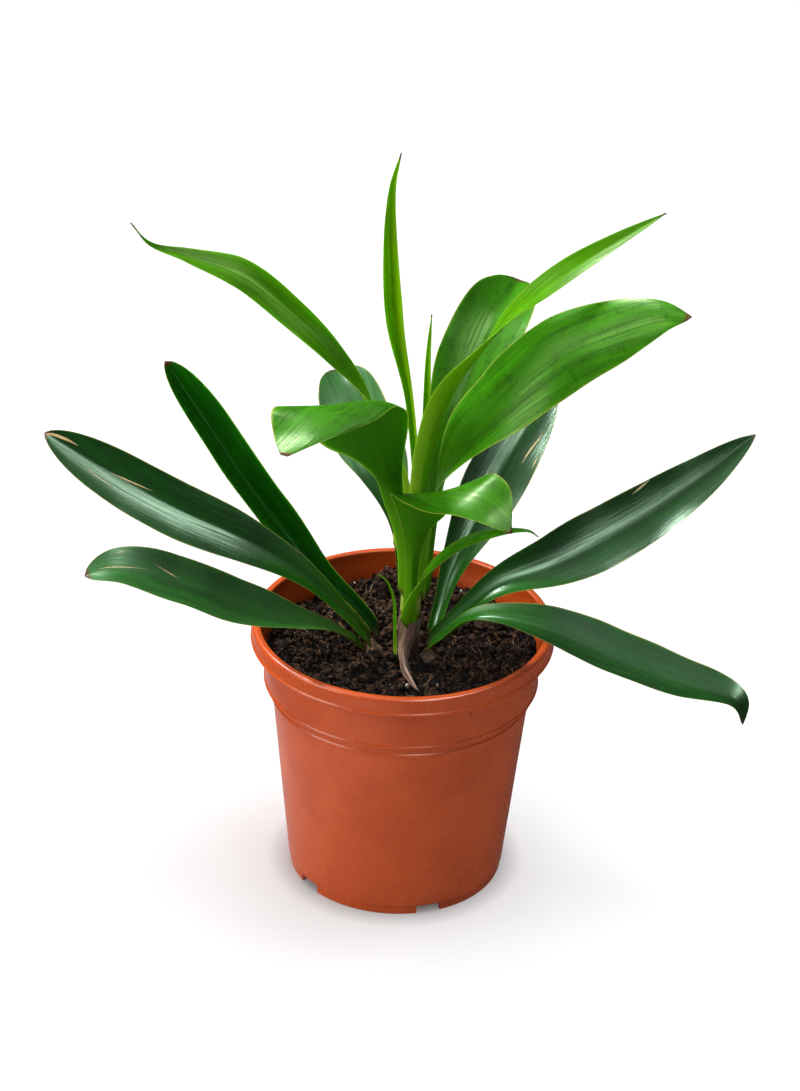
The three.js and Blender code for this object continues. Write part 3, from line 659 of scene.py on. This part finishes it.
def arched_rows(leaf, share, t, across, length):
    """Rows of a blade whose halves are arcs, turned up from the midrib by the fold."""
    centre = through(leaf["points"], t)
    step = 1e-4
    tangent = unit(through(leaf["points"], t + step) - through(leaf["points"], t - step))
    upper = through(leaf["faces"], t)
    upper = unit(upper - (upper * tangent).sum(1, keepdims=True) * tangent)
    side = np.cross(tangent, upper)
    half = half_width(leaf, share)[:, None]
    curl = np.radians(evenly(leaf["curl"], share))[:, None] + LEAST_CURL
    fold = np.radians(evenly(leaf["fold"], share))[:, None]
    v = across[None, :]
    out = half * np.sin(curl * np.abs(v)) / curl
    lift = half * (1 - np.cos(curl * v)) / curl
    x = np.sign(v) * (out * np.cos(fold) - lift * np.sin(fold))
    y = out * np.sin(fold) + lift * np.cos(fold) + edge_wave(leaf, share, across, length, half)
    return centre[:, None] + x[..., None] * side[:, None] + y[..., None] * upper[:, None]


def drawn_rows(leaf, t, across):
    """Rows of a rolled blade: each is a bow from its right edge over the midrib to its left edge."""
    keys = ("points", "right_edge", "left_edge")
    middle, right_edge, left_edge = (through(leaf[key], t)[:, None] for key in keys)
    v = across[None, :, None]
    return middle * (1 - v * v) + right_edge * (v * v - v) / 2 + left_edge * (v * v + v) / 2


def blade_grid(leaf, share, across):
    """Points of the middle of a blade, a row for each share of its length, and that length."""
    fine = np.linspace(0, 1, 600)
    path = through(leaf["points"], fine)
    run = np.concatenate([[0], np.cumsum(np.linalg.norm(np.diff(path, axis=0), axis=1))])
    t = np.interp(share * run[-1], run, fine)
    if "left_edge" in leaf:
        return drawn_rows(leaf, t, across), run[-1]
    return arched_rows(leaf, share, t, across, run[-1]), run[-1]


def edge_wave(leaf, share, across, length, half):
    """Lifts the edges in slow waves, more on a wide blade, and not at all at the midrib."""
    seed = leaf["points"][-1][0]
    distance = share * length
    left = np.sin(distance / 11 + seed) + 0.6 * np.sin(distance / 5.3 + 2 * seed)
    right_side = np.sin(distance / 12 + 1 + seed) + 0.6 * np.sin(distance / 6.1 + seed)
    wave = np.where(across[None, :] < 0, left[:, None], right_side[:, None])
    return wave * np.abs(across[None, :]) ** 3 * half * EDGE_WAVE


def pointed_base(leaf, middle, distance, across):
    """Slides the edges along the blade near its base, so a leaf clasps the stem in a V."""
    fading = np.exp(-(distance[:, None] / BASE_REACH) ** 2)
    slide = leaf.get("vee", BASE_VEE) * fading * np.abs(across)[None, :]
    return slide[..., None] * unit(np.gradient(middle, axis=0))


def blade_mesh(leaf, rows=110, columns=20):
    """Closed mesh of a blade. It is thicker at the midrib, and both faces share their edge."""
    share = np.linspace(0, 1, rows + 1)
    across = np.sin(np.linspace(-1, 1, columns + 1) * math.pi / 2)
    middle, length = blade_grid(leaf, share, across)
    middle = middle + pointed_base(leaf, middle, share * length, across)
    normal = unit(np.cross(np.gradient(middle, axis=1), np.gradient(middle, axis=0)))
    thick = BLADE_THICKNESS / 2 * (1 - 0.8 * across ** 8)[None, :, None]
    to_tip = (1 - share)[:, None, None]
    rib = RIB_DEPTH * np.exp(-(across / RIB_SPREAD) ** 2)[None, :, None] * to_tip
    groove = GROOVE_DEPTH * np.exp(-(across / GROOVE_SPREAD) ** 2)[None, :, None] * to_tip
    top = middle + normal * (thick - groove)
    under = middle - normal * (thick + rib)
    points = np.concatenate([top.reshape(-1, 3), under.reshape(-1, 3)])
    wide = columns + 1
    count = (rows + 1) * wide
    faces = []
    for i in range(rows):
        for j in range(columns):
            a = i * wide + j
            faces.append((a, a + wide, a + wide + 1, a + 1))
            faces.append((count + a, count + a + 1, count + a + wide + 1, count + a + wide))
        left, edge = i * wide, i * wide + columns
        faces.append((left, count + left, count + left + wide, left + wide))
        faces.append((edge, edge + wide, count + edge + wide, count + edge))
    for j in range(columns):
        tip = rows * wide + j
        faces.append((j, j + 1, count + j + 1, count + j))
        faces.append((tip, count + tip, count + tip + 1, tip + 1))
    steps = np.linalg.norm(np.diff(middle, axis=1), axis=2)
    reach = np.concatenate([np.zeros((rows + 1, 1)), np.cumsum(steps, axis=1)], axis=1)
    reach -= reach[:, [columns // 2]]
    marks = {
        "along": np.tile(np.repeat(share, wide), 2),
        "across": np.tile(np.tile(across, rows + 1), 2),
        "upper": np.concatenate([np.ones(count), np.zeros(count)]),
    }
    millimetres = np.zeros((2 * count, 3))
    millimetres[:, 0] = np.tile(np.repeat(share * length, wide), 2)
    millimetres[:, 1] = np.tile(reach.ravel(), 2)
    millimetres[:, 2] = leaf["points"][-1][0] * 3.7
    return points, faces, marks, millimetres


def store_marks(piece, marks, millimetres):
    """Keeps on each point how far along and across the blade it lies, for the material."""
    for name, values in marks.items():
        layer = piece.data.attributes.new(name, "FLOAT", "POINT")
        layer.data.foreach_set("value", np.asarray(values, np.float32))
    layer = piece.data.attributes.new("blade_mm", "FLOAT_VECTOR", "POINT")
    layer.data.foreach_set("vector", np.asarray(millimetres, np.float32).ravel())


print("blade rule ready, spear:", round(blade_mesh(LEAVES["leaf_spear"])[3][:, 0].max()), "mm long")

# %% [markdown]
# ## Leaf tissue
#
# A leaf is waxy skin over green tissue. The upper side is glossy and darker, the underside
# is paler and more matt. Veins run side by side along the blade, about a millimetre apart.
# They are drawn a little coarser here, so that they show as the fine silky lines that break
# up the shine. The edge is a thin pale line, the tip dries to brown, and light glows through
# a young leaf, which is why it looks yellower. The shader reads how far along and across the
# blade each point lies.

# %% Waxy leaf skin


def leaf_skin(name, colours, sheen, wax, gloss, glow, wet):
    """Leaf tissue. The colours are those of the upper side, its veins, the underside and the stalk.

    Sheen is the tint of the shine, wax its strength and gloss its roughness. Glow is the share
    of light that spreads inside the blade, and wet the strength of the damp, darker spots.
    """
    material, tree = new_material(name)
    along = add_node(tree, "Attribute", attribute_name="along").outputs["Fac"]
    across = add_node(tree, "Attribute", attribute_name="across").outputs["Fac"]
    upper = add_node(tree, "Attribute", attribute_name="upper").outputs["Fac"]
    place = add_node(tree, "Attribute", attribute_name="blade_mm").outputs["Vector"]

    vein_mm, rib_mm, patch_mm, drop_mm = 1.3, 6, 22, 4.5
    drawn_out = add_node(tree, "Mapping", {"Vector": place, "Scale": (0.02, 1 / vein_mm, 1)})
    veins = add_node(tree, "TexNoise", {
        "Vector": drawn_out, "Scale": 1.0, "Detail": 4.0, "Roughness": 0.65})
    bands = add_node(tree, "Mapping", {"Vector": place, "Scale": (0.014, 1 / rib_mm, 1)})
    broad = add_node(tree, "TexNoise", {"Vector": bands, "Scale": 1.0, "Detail": 2.0})
    patches = add_node(tree, "TexNoise", {"Vector": place, "Scale": 1 / patch_mm, "Detail": 3.0})

    vein_mask = add_node(tree, "MapRange", {"Value": veins, "From Min": 0.35, "From Max": 0.68})
    top = add_node(tree, "Mix", {"Factor": vein_mask, "A": colours[0], "B": colours[1]}, data_type="RGBA")
    tone = add_node(tree, "MapRange", {
        "Value": broad, "From Min": 0.3, "From Max": 0.7, "To Min": 0.7, "To Max": 1.3})
    mottle = add_node(tree, "MapRange", {
        "Value": patches, "From Min": 0.3, "From Max": 0.7, "To Min": 0.85, "To Max": 1.15})
    both = add_node(tree, "Math", {0: tone, 1: mottle}, operation="MULTIPLY")
    toned = add_node(tree, "VectorMath", {0: top, "Scale": both}, operation="SCALE")
    tinted = add_node(tree, "Mix", {"Factor": upper, "A": colours[2], "B": toned}, data_type="RGBA")

    # Four tints follow, each over the one before: the pale stalk, the brown base, the pale
    # edge and the dried tip. Each fades between two places, from one strength to another.
    off_middle = add_node(tree, "Math", {0: across}, operation="ABSOLUTE")
    ragged = add_node(tree, "Math", {0: patches, 1: 0.02, 2: along}, operation="MULTIPLY_ADD")
    for measure, start, end, first, last, tint in (
            (along, 0.03, 0.42, 0.9, 0.0, colours[3]), (along, 0.0, 0.03, 0.8, 0.0, "#54382A"),
            (off_middle, 0.955, 1.0, 0.0, 0.7, "#9A9A44"), (ragged, 0.992, 1.002, 0.0, 1.0, "#4E2A18")):
        mask = add_node(tree, "MapRange", {
            "Value": measure, "From Min": start, "From Max": end, "To Min": first, "To Max": last})
        tinted = add_node(tree, "Mix", {"Factor": mask, "A": tinted, "B": tint}, data_type="RGBA")

    splashes = add_node(tree, "TexNoise", {
        "Vector": place, "Scale": 1 / drop_mm, "Detail": 2.0, "Roughness": 0.6})
    past_stalk = add_node(tree, "MapRange", {
        "Value": along, "From Min": 0.35, "From Max": 0.6, "To Max": wet})
    wettest = add_node(tree, "Math", {0: upper, 1: past_stalk}, operation="MULTIPLY")
    wet_mask = add_node(tree, "MapRange", {
        "Value": splashes, "From Min": 0.58, "From Max": 0.62, "To Max": wettest})
    soaked = add_node(tree, "VectorMath", {0: tinted, 1: (-0.4, -0.36, -0.4)}, operation="MULTIPLY")
    darker = add_node(tree, "VectorMath", {0: soaked, "Scale": wet_mask}, operation="SCALE")
    final = add_node(tree, "VectorMath", {0: tinted, 1: darker}, operation="ADD")

    dull = add_node(tree, "MapRange", {
        "Value": veins, "From Min": 0.3, "From Max": 0.7, "To Min": gloss - 0.06, "To Max": gloss + 0.12})
    shine = add_node(tree, "Math", {0: wet_mask, 1: -0.06, 2: dull}, operation="MULTIPLY_ADD")
    streak = add_node(tree, "MapRange", {
        "Value": veins, "From Min": 0.35, "From Max": 0.65, "To Min": wax, "To Max": 0.6 * wax})
    waxy = add_node(tree, "MapRange", {"Value": upper, "To Min": 0.15, "To Max": streak})
    ribbing = add_node(tree, "Math", {0: broad, 1: 1.2, 2: veins}, operation="MULTIPLY_ADD")
    relief = add_node(tree, "Bump", {"Height": ribbing, "Strength": 0.8, "Distance": 0.13 * MM})
    shader = add_node(tree, "BsdfPrincipled", {
        "Base Color": final, "Roughness": shine, "IOR": 1.45, "Normal": relief,
        "Specular IOR Level": waxy, "Specular Tint": sheen,
        "Subsurface Weight": glow, "Subsurface Radius": (0.0016, 0.003, 0.0006), "Subsurface Scale": 0.6})
    finish_material(tree, shader)
    return material


SKIN_LOOKS = {
    "tender": (["#7AAE06", "#629804", "#7AA808", "#9ABC38"], "#C8FF70", 0.34, 0.34, 0.5, 0.0),
    "young": (["#4A8404", "#387003", "#5E8C06", "#8FB030"], "#D8FFA0", 0.24, 0.3, 0.55, 0.0),
    "fresh": (["#347602", "#266202", "#2E6603", "#64A014"], "#D8FFB0", 0.46, 0.31, 0.3, 0.6),
    "shaded": (["#104604", "#0A3802", "#1C5404", "#0E4206"], "#D8FFE0", 0.1, 0.42, 0.8, 0.0),
    "dark": (["#0B3E06", "#073004", "#204E06", "#2C7C0C"], "#D8FFE0", 0.85, 0.26, 0.03, 0.0),
    "aged": (["#24581C", "#1A4A14", "#204E06", "#3A6E18"], "#D8FFE0", 0.7, 0.38, 0.03, 0.0),
}
SKINS = {finish: leaf_skin(finish + "_leaf_skin", *looks) for finish, looks in SKIN_LOOKS.items()}
SLOTS = {"tender": "leaf_young", "young": "leaf_young", "fresh": "leaf_fresh", "dark": "leaf_dark",
         "aged": "leaf_dark", "shaded": "leaf_dark", "dry": "dry_sheath"}

# %% Dry paper for the sheath
# A dead sheath has lost its wax: long fibres in two browns, ridged and quite matt.
SKINS["dry"] = grained_material(
    "dried_leaf_paper", ("#241612", "#A8846A"), 0.8, (0.4, 0.72), {"Roughness": 0.75, "IOR": 1.45},
    relief_mm=0.8, stretch=(0.04, 1, 0.8), on_blade=True)
print("leaf materials:", len(SKINS))

# %% Grow the leaves
for name, leaf in LEAVES.items():
    points, faces, marks, millimetres = blade_mesh(leaf)
    finish = leaf["finish"]
    piece = make_piece(name + "_blade", points, faces, [SKINS[finish]], [name], SLOTS[finish])
    store_marks(piece, marks, millimetres)
print("blades made:", len(LEAVES))

# %% [markdown]
# ## Scratches and dry edges
#
# Old leaves carry healed scratches and dried edges, tan and corky. Each is drawn as a thin
# ribbon that lies on the blade: a line of places, each a share of the length and a share of
# the half width, with its own greatest width in millimetres.

# %% Scratches
SCAR_STEPS = 25
SCAR_RISE = 0.15
FINE_ALONG, FINE_ACROSS = 400, 80
SCARS = [
    ("leaf_left_long", [(.995, -.3), (.985, .3), (.955, .4), (.915, .37)], 2.2),
    ("leaf_left_long", [(.815, .07), (.758, .15), (.703, .22)], 0.9),
    ("leaf_left_long", [(.883, -.27), (.83, -.32), (.795, -.32)], 0.5),
    ("leaf_left_low", [(.963, .2), (.905, .08), (.81, .25)], 0.5),
    ("leaf_left_low", [(.8, .45), (.72, .22)], 0.7),
    ("leaf_left_low", [(.907, .77), (.89, .75)], 0.6),
    ("leaf_right_long", [(.655, -.8), (.685, -.875), (.715, -.97)], 1.2),
    ("leaf_right_back", [(.66, .45), (.725, .525), (.802, .725)], 0.9),
    ("leaf_right_back", [(.657, .85), (.713, .875)], 0.7),
]


def scar_ribbon(leaf, line, width):
    """Points and faces of a ribbon on the upper face of a blade, pointed at both ends."""
    share, across = np.linspace(0, 1, FINE_ALONG + 1), np.linspace(-1, 1, FINE_ACROSS + 1)
    middle, _ = blade_grid(leaf, share, across)
    normal = unit(np.cross(np.gradient(middle, axis=1), np.gradient(middle, axis=0)))
    run = through([(a, b, 0) for a, b in line], np.linspace(0, 1, SCAR_STEPS))
    rows = np.clip(np.round(run[:, 0] * FINE_ALONG).astype(int), 0, FINE_ALONG)
    place = np.clip((run[:, 1] + 1) * FINE_ACROSS / 2, 0, FINE_ACROSS - 0.001)
    low = place.astype(int)
    w = (place - low)[:, None]
    out = normal[rows, low]
    spot = middle[rows, low] * (1 - w) + middle[rows, low + 1] * w + out * BLADE_THICKNESS / 2
    side = unit(np.cross(unit(np.gradient(spot, axis=0)), out))
    half = width / 2 * np.sin(np.linspace(0.05, math.pi - 0.05, SCAR_STEPS))[:, None]
    points = np.concatenate([spot - side * half, spot + out * SCAR_RISE, spot + side * half])
    faces = []
    for first in (0, SCAR_STEPS):
        for a in range(first, first + SCAR_STEPS - 1):
            faces.append((a, a + 1, a + SCAR_STEPS + 1, a + SCAR_STEPS))
    return points, faces


# Healed tissue is cork: tan, matt and a little patchy.
cork = grained_material("corky_scar", ("#A8703C", "#E8D8A0"), 1.5, (0, 1), {"Roughness": 0.6},
                        detail=2.0, ragged=0.5)
scar_points, scar_faces = [], []
for name, line, width in SCARS:
    points, faces = scar_ribbon(LEAVES[name], line, width)
    scar_faces += [tuple(i + len(scar_points) for i in face) for face in faces]
    scar_points += [tuple(point) for point in points]
make_piece("leaf_scars", scar_points, scar_faces, [cork], slot="leaf_dark")
print("scratches drawn:", len(SCARS))

# %% [markdown]
# ## Stems and crowns
#
# The main stem is young and soft, and hidden by the leaf bases that wrap it. The two side
# shoots sit in the soil on short stubs, ringed by the brown fibres of older leaves.

# %% Stem skin and fibrous bark


def stem_skin():
    """A soft green stem with upright ribs in two greens, turning brown towards its foot."""
    material, tree = new_material("green_stem_skin")
    here = add_node(tree, "NewGeometry").outputs["Position"]
    rib_mm = 1.2
    drawn_out = add_node(tree, "Mapping", {"Vector": here, "Scale": (1, 1, 0.05)})
    ribs = add_node(tree, "TexNoise", {"Vector": drawn_out, "Scale": 1 / (rib_mm * MM), "Detail": 2.0})
    green = add_node(tree, "Mix", {"Factor": ribs, "A": "#6E9A2C", "B": "#A3B84C"}, data_type="RGBA")
    height = add_node(tree, "SeparateXYZ", {"Vector": here}).outputs["Z"]
    woody = add_node(tree, "MapRange", {
        "Value": height, "From Min": 160 * MM, "From Max": 176 * MM, "To Min": 1.0, "To Max": 0.0})
    browned = add_node(tree, "Mix", {"Factor": woody, "A": green, "B": "#4A3026"}, data_type="RGBA")
    relief = add_node(tree, "Bump", {"Height": ribs, "Strength": 0.3, "Distance": 0.3 * MM})
    shader = add_node(tree, "BsdfPrincipled", {
        "Base Color": browned, "Roughness": 0.45, "IOR": 1.45, "Normal": relief,
        "Subsurface Weight": 0.15, "Subsurface Radius": (0.002, 0.003, 0.001)})
    finish_material(tree, shader)
    return material


green_stem = stem_skin()
# The stub of a side shoot is stringy and quite matt.
brown_bark = grained_material("fibrous_brown_bark", ("#33221A", "#A58560"), 0.9, (0.35, 0.65),
                              {"Roughness": 0.85}, relief_mm=0.6, stretch=(1, 1, 0.25))
print("materials:", green_stem.name, brown_bark.name)

# %% Loft the stems
STEMS = {
    "main_stem": dict(points=[(3, -9, 60), (3, -10, 130), (4, -11, 180), (5, -9, 230), (7, -6, 268)],
                      radii=(5.5, 6.2, 5.6, 4.2, 2.2), rough=0.15, material=green_stem, slot="stem"),
    "left_crown": dict(points=[(-15, -9, 80), (-15, -9, 125), (-15, -10, 141), (-17, -11, 152)],
                       radii=(4.5, 4.9, 5.4, 6.2, 4.6, 0.6), rough=1.3, material=brown_bark, slot="crown"),
    "right_crown": dict(points=[(15, -16, 80), (15, -16, 125), (14, -15, 140), (15, -14, 150)],
                        radii=(4, 4.5, 5.0, 5.4, 4.2, 0.6), rough=1.2, material=brown_bark, slot="crown"),
}


def lofted(stem, rows=60, around=32):
    """Points and faces of a round, tapered, slightly lumpy stem with closed ends."""
    share = np.linspace(0, 1, rows + 1)
    centre = through(stem["points"], share)
    radius = evenly(stem["radii"], share)
    points = []
    for (x, y, z), r in zip(centre, radius):
        for a in np.linspace(0, 2 * math.pi, around, endpoint=False):
            lump = noise.noise(Vector((2.2 * math.cos(a), 2.2 * math.sin(a), z * 0.12 + x)))
            reach = r + stem["rough"] * lump
            points.append((x + reach * math.cos(a), y + reach * math.sin(a), z))
    caps = [tuple(reversed(range(around))), tuple(range(rows * around, (rows + 1) * around))]
    return points, caps + ring_quads(0, rows + 1, around)


for name, stem in STEMS.items():
    make_piece(name + "_skin", *lofted(stem), [stem["material"]], [name], stem["slot"])
print("stems made:", len(STEMS))

# %% [markdown]
# ## Soil
#
# Potting soil is damp peat: dark crumbs of every size, threads of root and bark, and a few
# white grains of perlite. The surface is a disc of fine points with the solid's own mounds
# and clods, lifted by layered noise, so the big lumps carry small ones. Loose crumbs, fibres
# and grains are scattered on it, each resting on the height of the surface where it lies.
# The crumbs are left faceted, because peat breaks in sharp little pieces.

# %% Peat, fibre and perlite


def peat(name, dark, light, grain_mm):
    """Damp peat: nearly black brown and rough, with a fine grain that catches a little light."""
    surface = {"Roughness": 0.7, "Specular IOR Level": 0.12}
    return grained_material(name, (dark, light), grain_mm, (0.45, 0.75), surface,
                            relief_mm=1.0, detail=5.0, ragged=0.75)


damp_peat = peat("damp_peat", "#030201", "#20140C", 2.0)
peat_crumb = peat("peat_crumb", "#050302", "#6E4C33", 2.6)
root_fibre = peat("root_fibre", "#6A4C34", "#C0A27C", 1.0)
perlite = peat("perlite_grain", "#D8D2C6", "#F4F0E8", 0.8)
print("soil materials ready")

# %% The soil's surface
SOIL_LEVEL = 142
CLODS = 90
CLOD_SPREAD = 75
SOIL_RADIUS = 76.2
SOIL_RINGS, SOIL_AROUND = 190, 400
SOIL_SIDES = [(75.7, BAND_BOTTOM + 2.6), (71.6, STEP_BOTTOM),
              (60.2, FLOOR_TOP + 2), (58.8, FLOOR_TOP + 0.3)]
CRUMB_RELIEF, GRAIN_RELIEF = 4.2, 1.2
SOIL_BUMPS = [(-12, -8, 3, 20), (12, -12, 2.5, 18), (4, 34, 3, 26), (-46, 12, 1.5, 18), (-2, 72, 7, 24)]


def clod_rule(i):
    """Place, width and height of one clod, in a loosened sunflower pattern."""
    out = CLOD_SPREAD * math.sqrt((i + 0.5) / CLODS) + 2 * math.sin(3 * i)
    angle = 2.4 * i + 0.2 * math.sin(5 * i)
    width, rise = 5 + 4.5 * (0.618 * i % 1), 1.5 + 2.5 * (0.414 * i % 1)
    return out * math.cos(angle), out * math.sin(angle), width, rise


CLOD_LIST = np.array([clod_rule(i) for i in range(CLODS)])


def clod_height(x, y):
    """Height of the clods at a place: the highest of the domes that reach it."""
    away = np.hypot(x - CLOD_LIST[:, 0], y - CLOD_LIST[:, 1]) / CLOD_LIST[:, 2]
    return float((CLOD_LIST[:, 3] * np.sqrt(np.maximum(0, 1 - away * away))).max())


def soil_height(x, y):
    """Height of the soil in millimetres: the solid's own mounds and clods, with crumbs on them."""
    height = SOIL_LEVEL + clod_height(x, y)
    for bump_x, bump_y, rise, spread in SOIL_BUMPS:
        height += rise * math.exp(-((x - bump_x) ** 2 + (y - bump_y) ** 2) / spread ** 2)
    crumbs = noise.turbulence(Vector((x * 0.22, y * 0.22, 7.7)), 5, False)
    grains = noise.turbulence(Vector((x * 0.9, y * 0.9, 1.7)), 3, False)
    return height + CRUMB_RELIEF * (crumbs - 0.6) + GRAIN_RELIEF * (grains - 0.5)


def soil_body():
    """The soil: its rough top, its sides along the pot's wall, and its flat bottom.

    A ring with no height of its own lies on the rough surface.
    """
    points = [(0, 0, soil_height(0, 0))]
    rings = [(SOIL_RADIUS * i / SOIL_RINGS, None) for i in range(1, SOIL_RINGS + 1)]
    for radius, height in rings + SOIL_SIDES:
        for a in np.linspace(0, 2 * math.pi, SOIL_AROUND, endpoint=False):
            x, y = radius * math.cos(a), radius * math.sin(a)
            points.append((x, y, soil_height(x, y) if height is None else height))
    faces = [(0, 1 + j, 1 + (j + 1) % SOIL_AROUND) for j in range(SOIL_AROUND)]
    faces += ring_quads(1, SOIL_RINGS + len(SOIL_SIDES), SOIL_AROUND, falling=True)
    faces.append(tuple(reversed(range(len(points) - SOIL_AROUND, len(points)))))
    return points, faces


make_piece("soil_peat", *soil_body(), [damp_peat], ["soil"], "soil")

# %% Scatter crumbs, fibres and grains
draw = random.Random(11)
CRUMBS, FIBRES, GRAINS = 5200, 460, 48
LUMP_RINGS, LUMP_SIDES = 4, 6
LUMP_SKEW = 3.5
LUMP_BULGE, LUMP_DETAIL = 0.9, 1.9
LUMP_RAISED = 0.25
FIBRE_SIDES, FIBRE_JOINTS = 4, 7
FIBRE_BOW, FIBRE_SUNK = 0.9, 0.2


def on_soil(spread=0.96):
    """A random place on the soil, in millimetres, with the height of the surface there."""
    angle = draw.uniform(0, 2 * math.pi)
    radius = SOIL_RADIUS * spread * math.sqrt(draw.random())
    x, y = radius * math.cos(angle), radius * math.sin(angle)
    return x, y, soil_height(x, y)


def lump_ways():
    """Directions from a lump's middle to its points: the top, the rings, and the bottom."""
    ways = [Vector((0, 0, 1))]
    for i in range(1, LUMP_RINGS):
        polar = math.pi * i / LUMP_RINGS
        for j in range(LUMP_SIDES):
            turn = 2 * math.pi * j / LUMP_SIDES
            ways.append(Vector((math.sin(polar) * math.cos(turn), math.sin(polar) * math.sin(turn),
                                math.cos(polar))))
    return ways + [Vector((0, 0, -1))]


def scatter_lumps(count, small, large, flat):
    """Points and faces of many rough lumps, most of them near the small size."""
    points, faces = [], []
    ways = lump_ways()
    for _ in range(count):
        x, y, z = on_soil()
        size = small + (large - small) * draw.random() ** LUMP_SKEW
        stretch = [size * draw.uniform(0.7, 1.3), size * draw.uniform(0.7, 1.3), size * flat]
        spin = draw.uniform(0, math.pi)
        seed = draw.uniform(0, 90)
        first = len(points)
        for way in ways:
            bulge = 1 + LUMP_BULGE * noise.noise(way * LUMP_DETAIL + Vector((seed, 0, 0)))
            px, py, pz = (way[k] * stretch[k] * bulge / 2 for k in range(3))
            points.append((x + px * math.cos(spin) - py * math.sin(spin),
                           y + px * math.sin(spin) + py * math.cos(spin), z + pz + LUMP_RAISED * size))
        top_ring, bottom_ring, last = first + 1, len(points) - 1 - LUMP_SIDES, len(points) - 1
        faces += ring_quads(top_ring, LUMP_RINGS - 1, LUMP_SIDES, falling=True)
        for j in range(LUMP_SIDES):
            k = (j + 1) % LUMP_SIDES
            faces.append((first, top_ring + j, top_ring + k))
            faces.append((bottom_ring + j, last, bottom_ring + k))
    return points, faces


def scatter_fibres(count):
    """Thin bent threads that lie on the soil and dip into it at their ends."""
    points, faces = [], []
    for _ in range(count):
        x, y, _ = on_soil(0.9)
        heading = draw.uniform(0, 2 * math.pi)
        bend = draw.uniform(-0.35, 0.35)
        step = draw.uniform(0.6, 2.0)
        thick = draw.uniform(0.15, 0.38)
        first = len(points)
        for i in range(FIBRE_JOINTS):
            rise = FIBRE_BOW * math.sin(math.pi * i / (FIBRE_JOINTS - 1)) - FIBRE_SUNK
            z = soil_height(x, y) + rise
            for j in range(FIBRE_SIDES):
                turn = 2 * math.pi * j / FIBRE_SIDES
                points.append((x - thick * math.cos(turn) * math.sin(heading),
                               y + thick * math.cos(turn) * math.cos(heading), z + thick * math.sin(turn)))
            heading += bend
            x += step * math.cos(heading)
            y += step * math.sin(heading)
        faces += ring_quads(first, FIBRE_JOINTS, FIBRE_SIDES)
    return points, faces


make_piece("soil_crumbs", *scatter_lumps(CRUMBS, 0.8, 5.2, 0.7), [peat_crumb], slot="soil", smooth=False)
make_piece("soil_fibres", *scatter_fibres(FIBRES), [root_fibre], slot="soil")
make_piece("soil_perlite", *scatter_lumps(GRAINS, 0.9, 2.8, 0.9), [perlite], slot="soil")
print("scattered:", CRUMBS, "crumbs,", FIBRES, "fibres,", GRAINS, "grains")
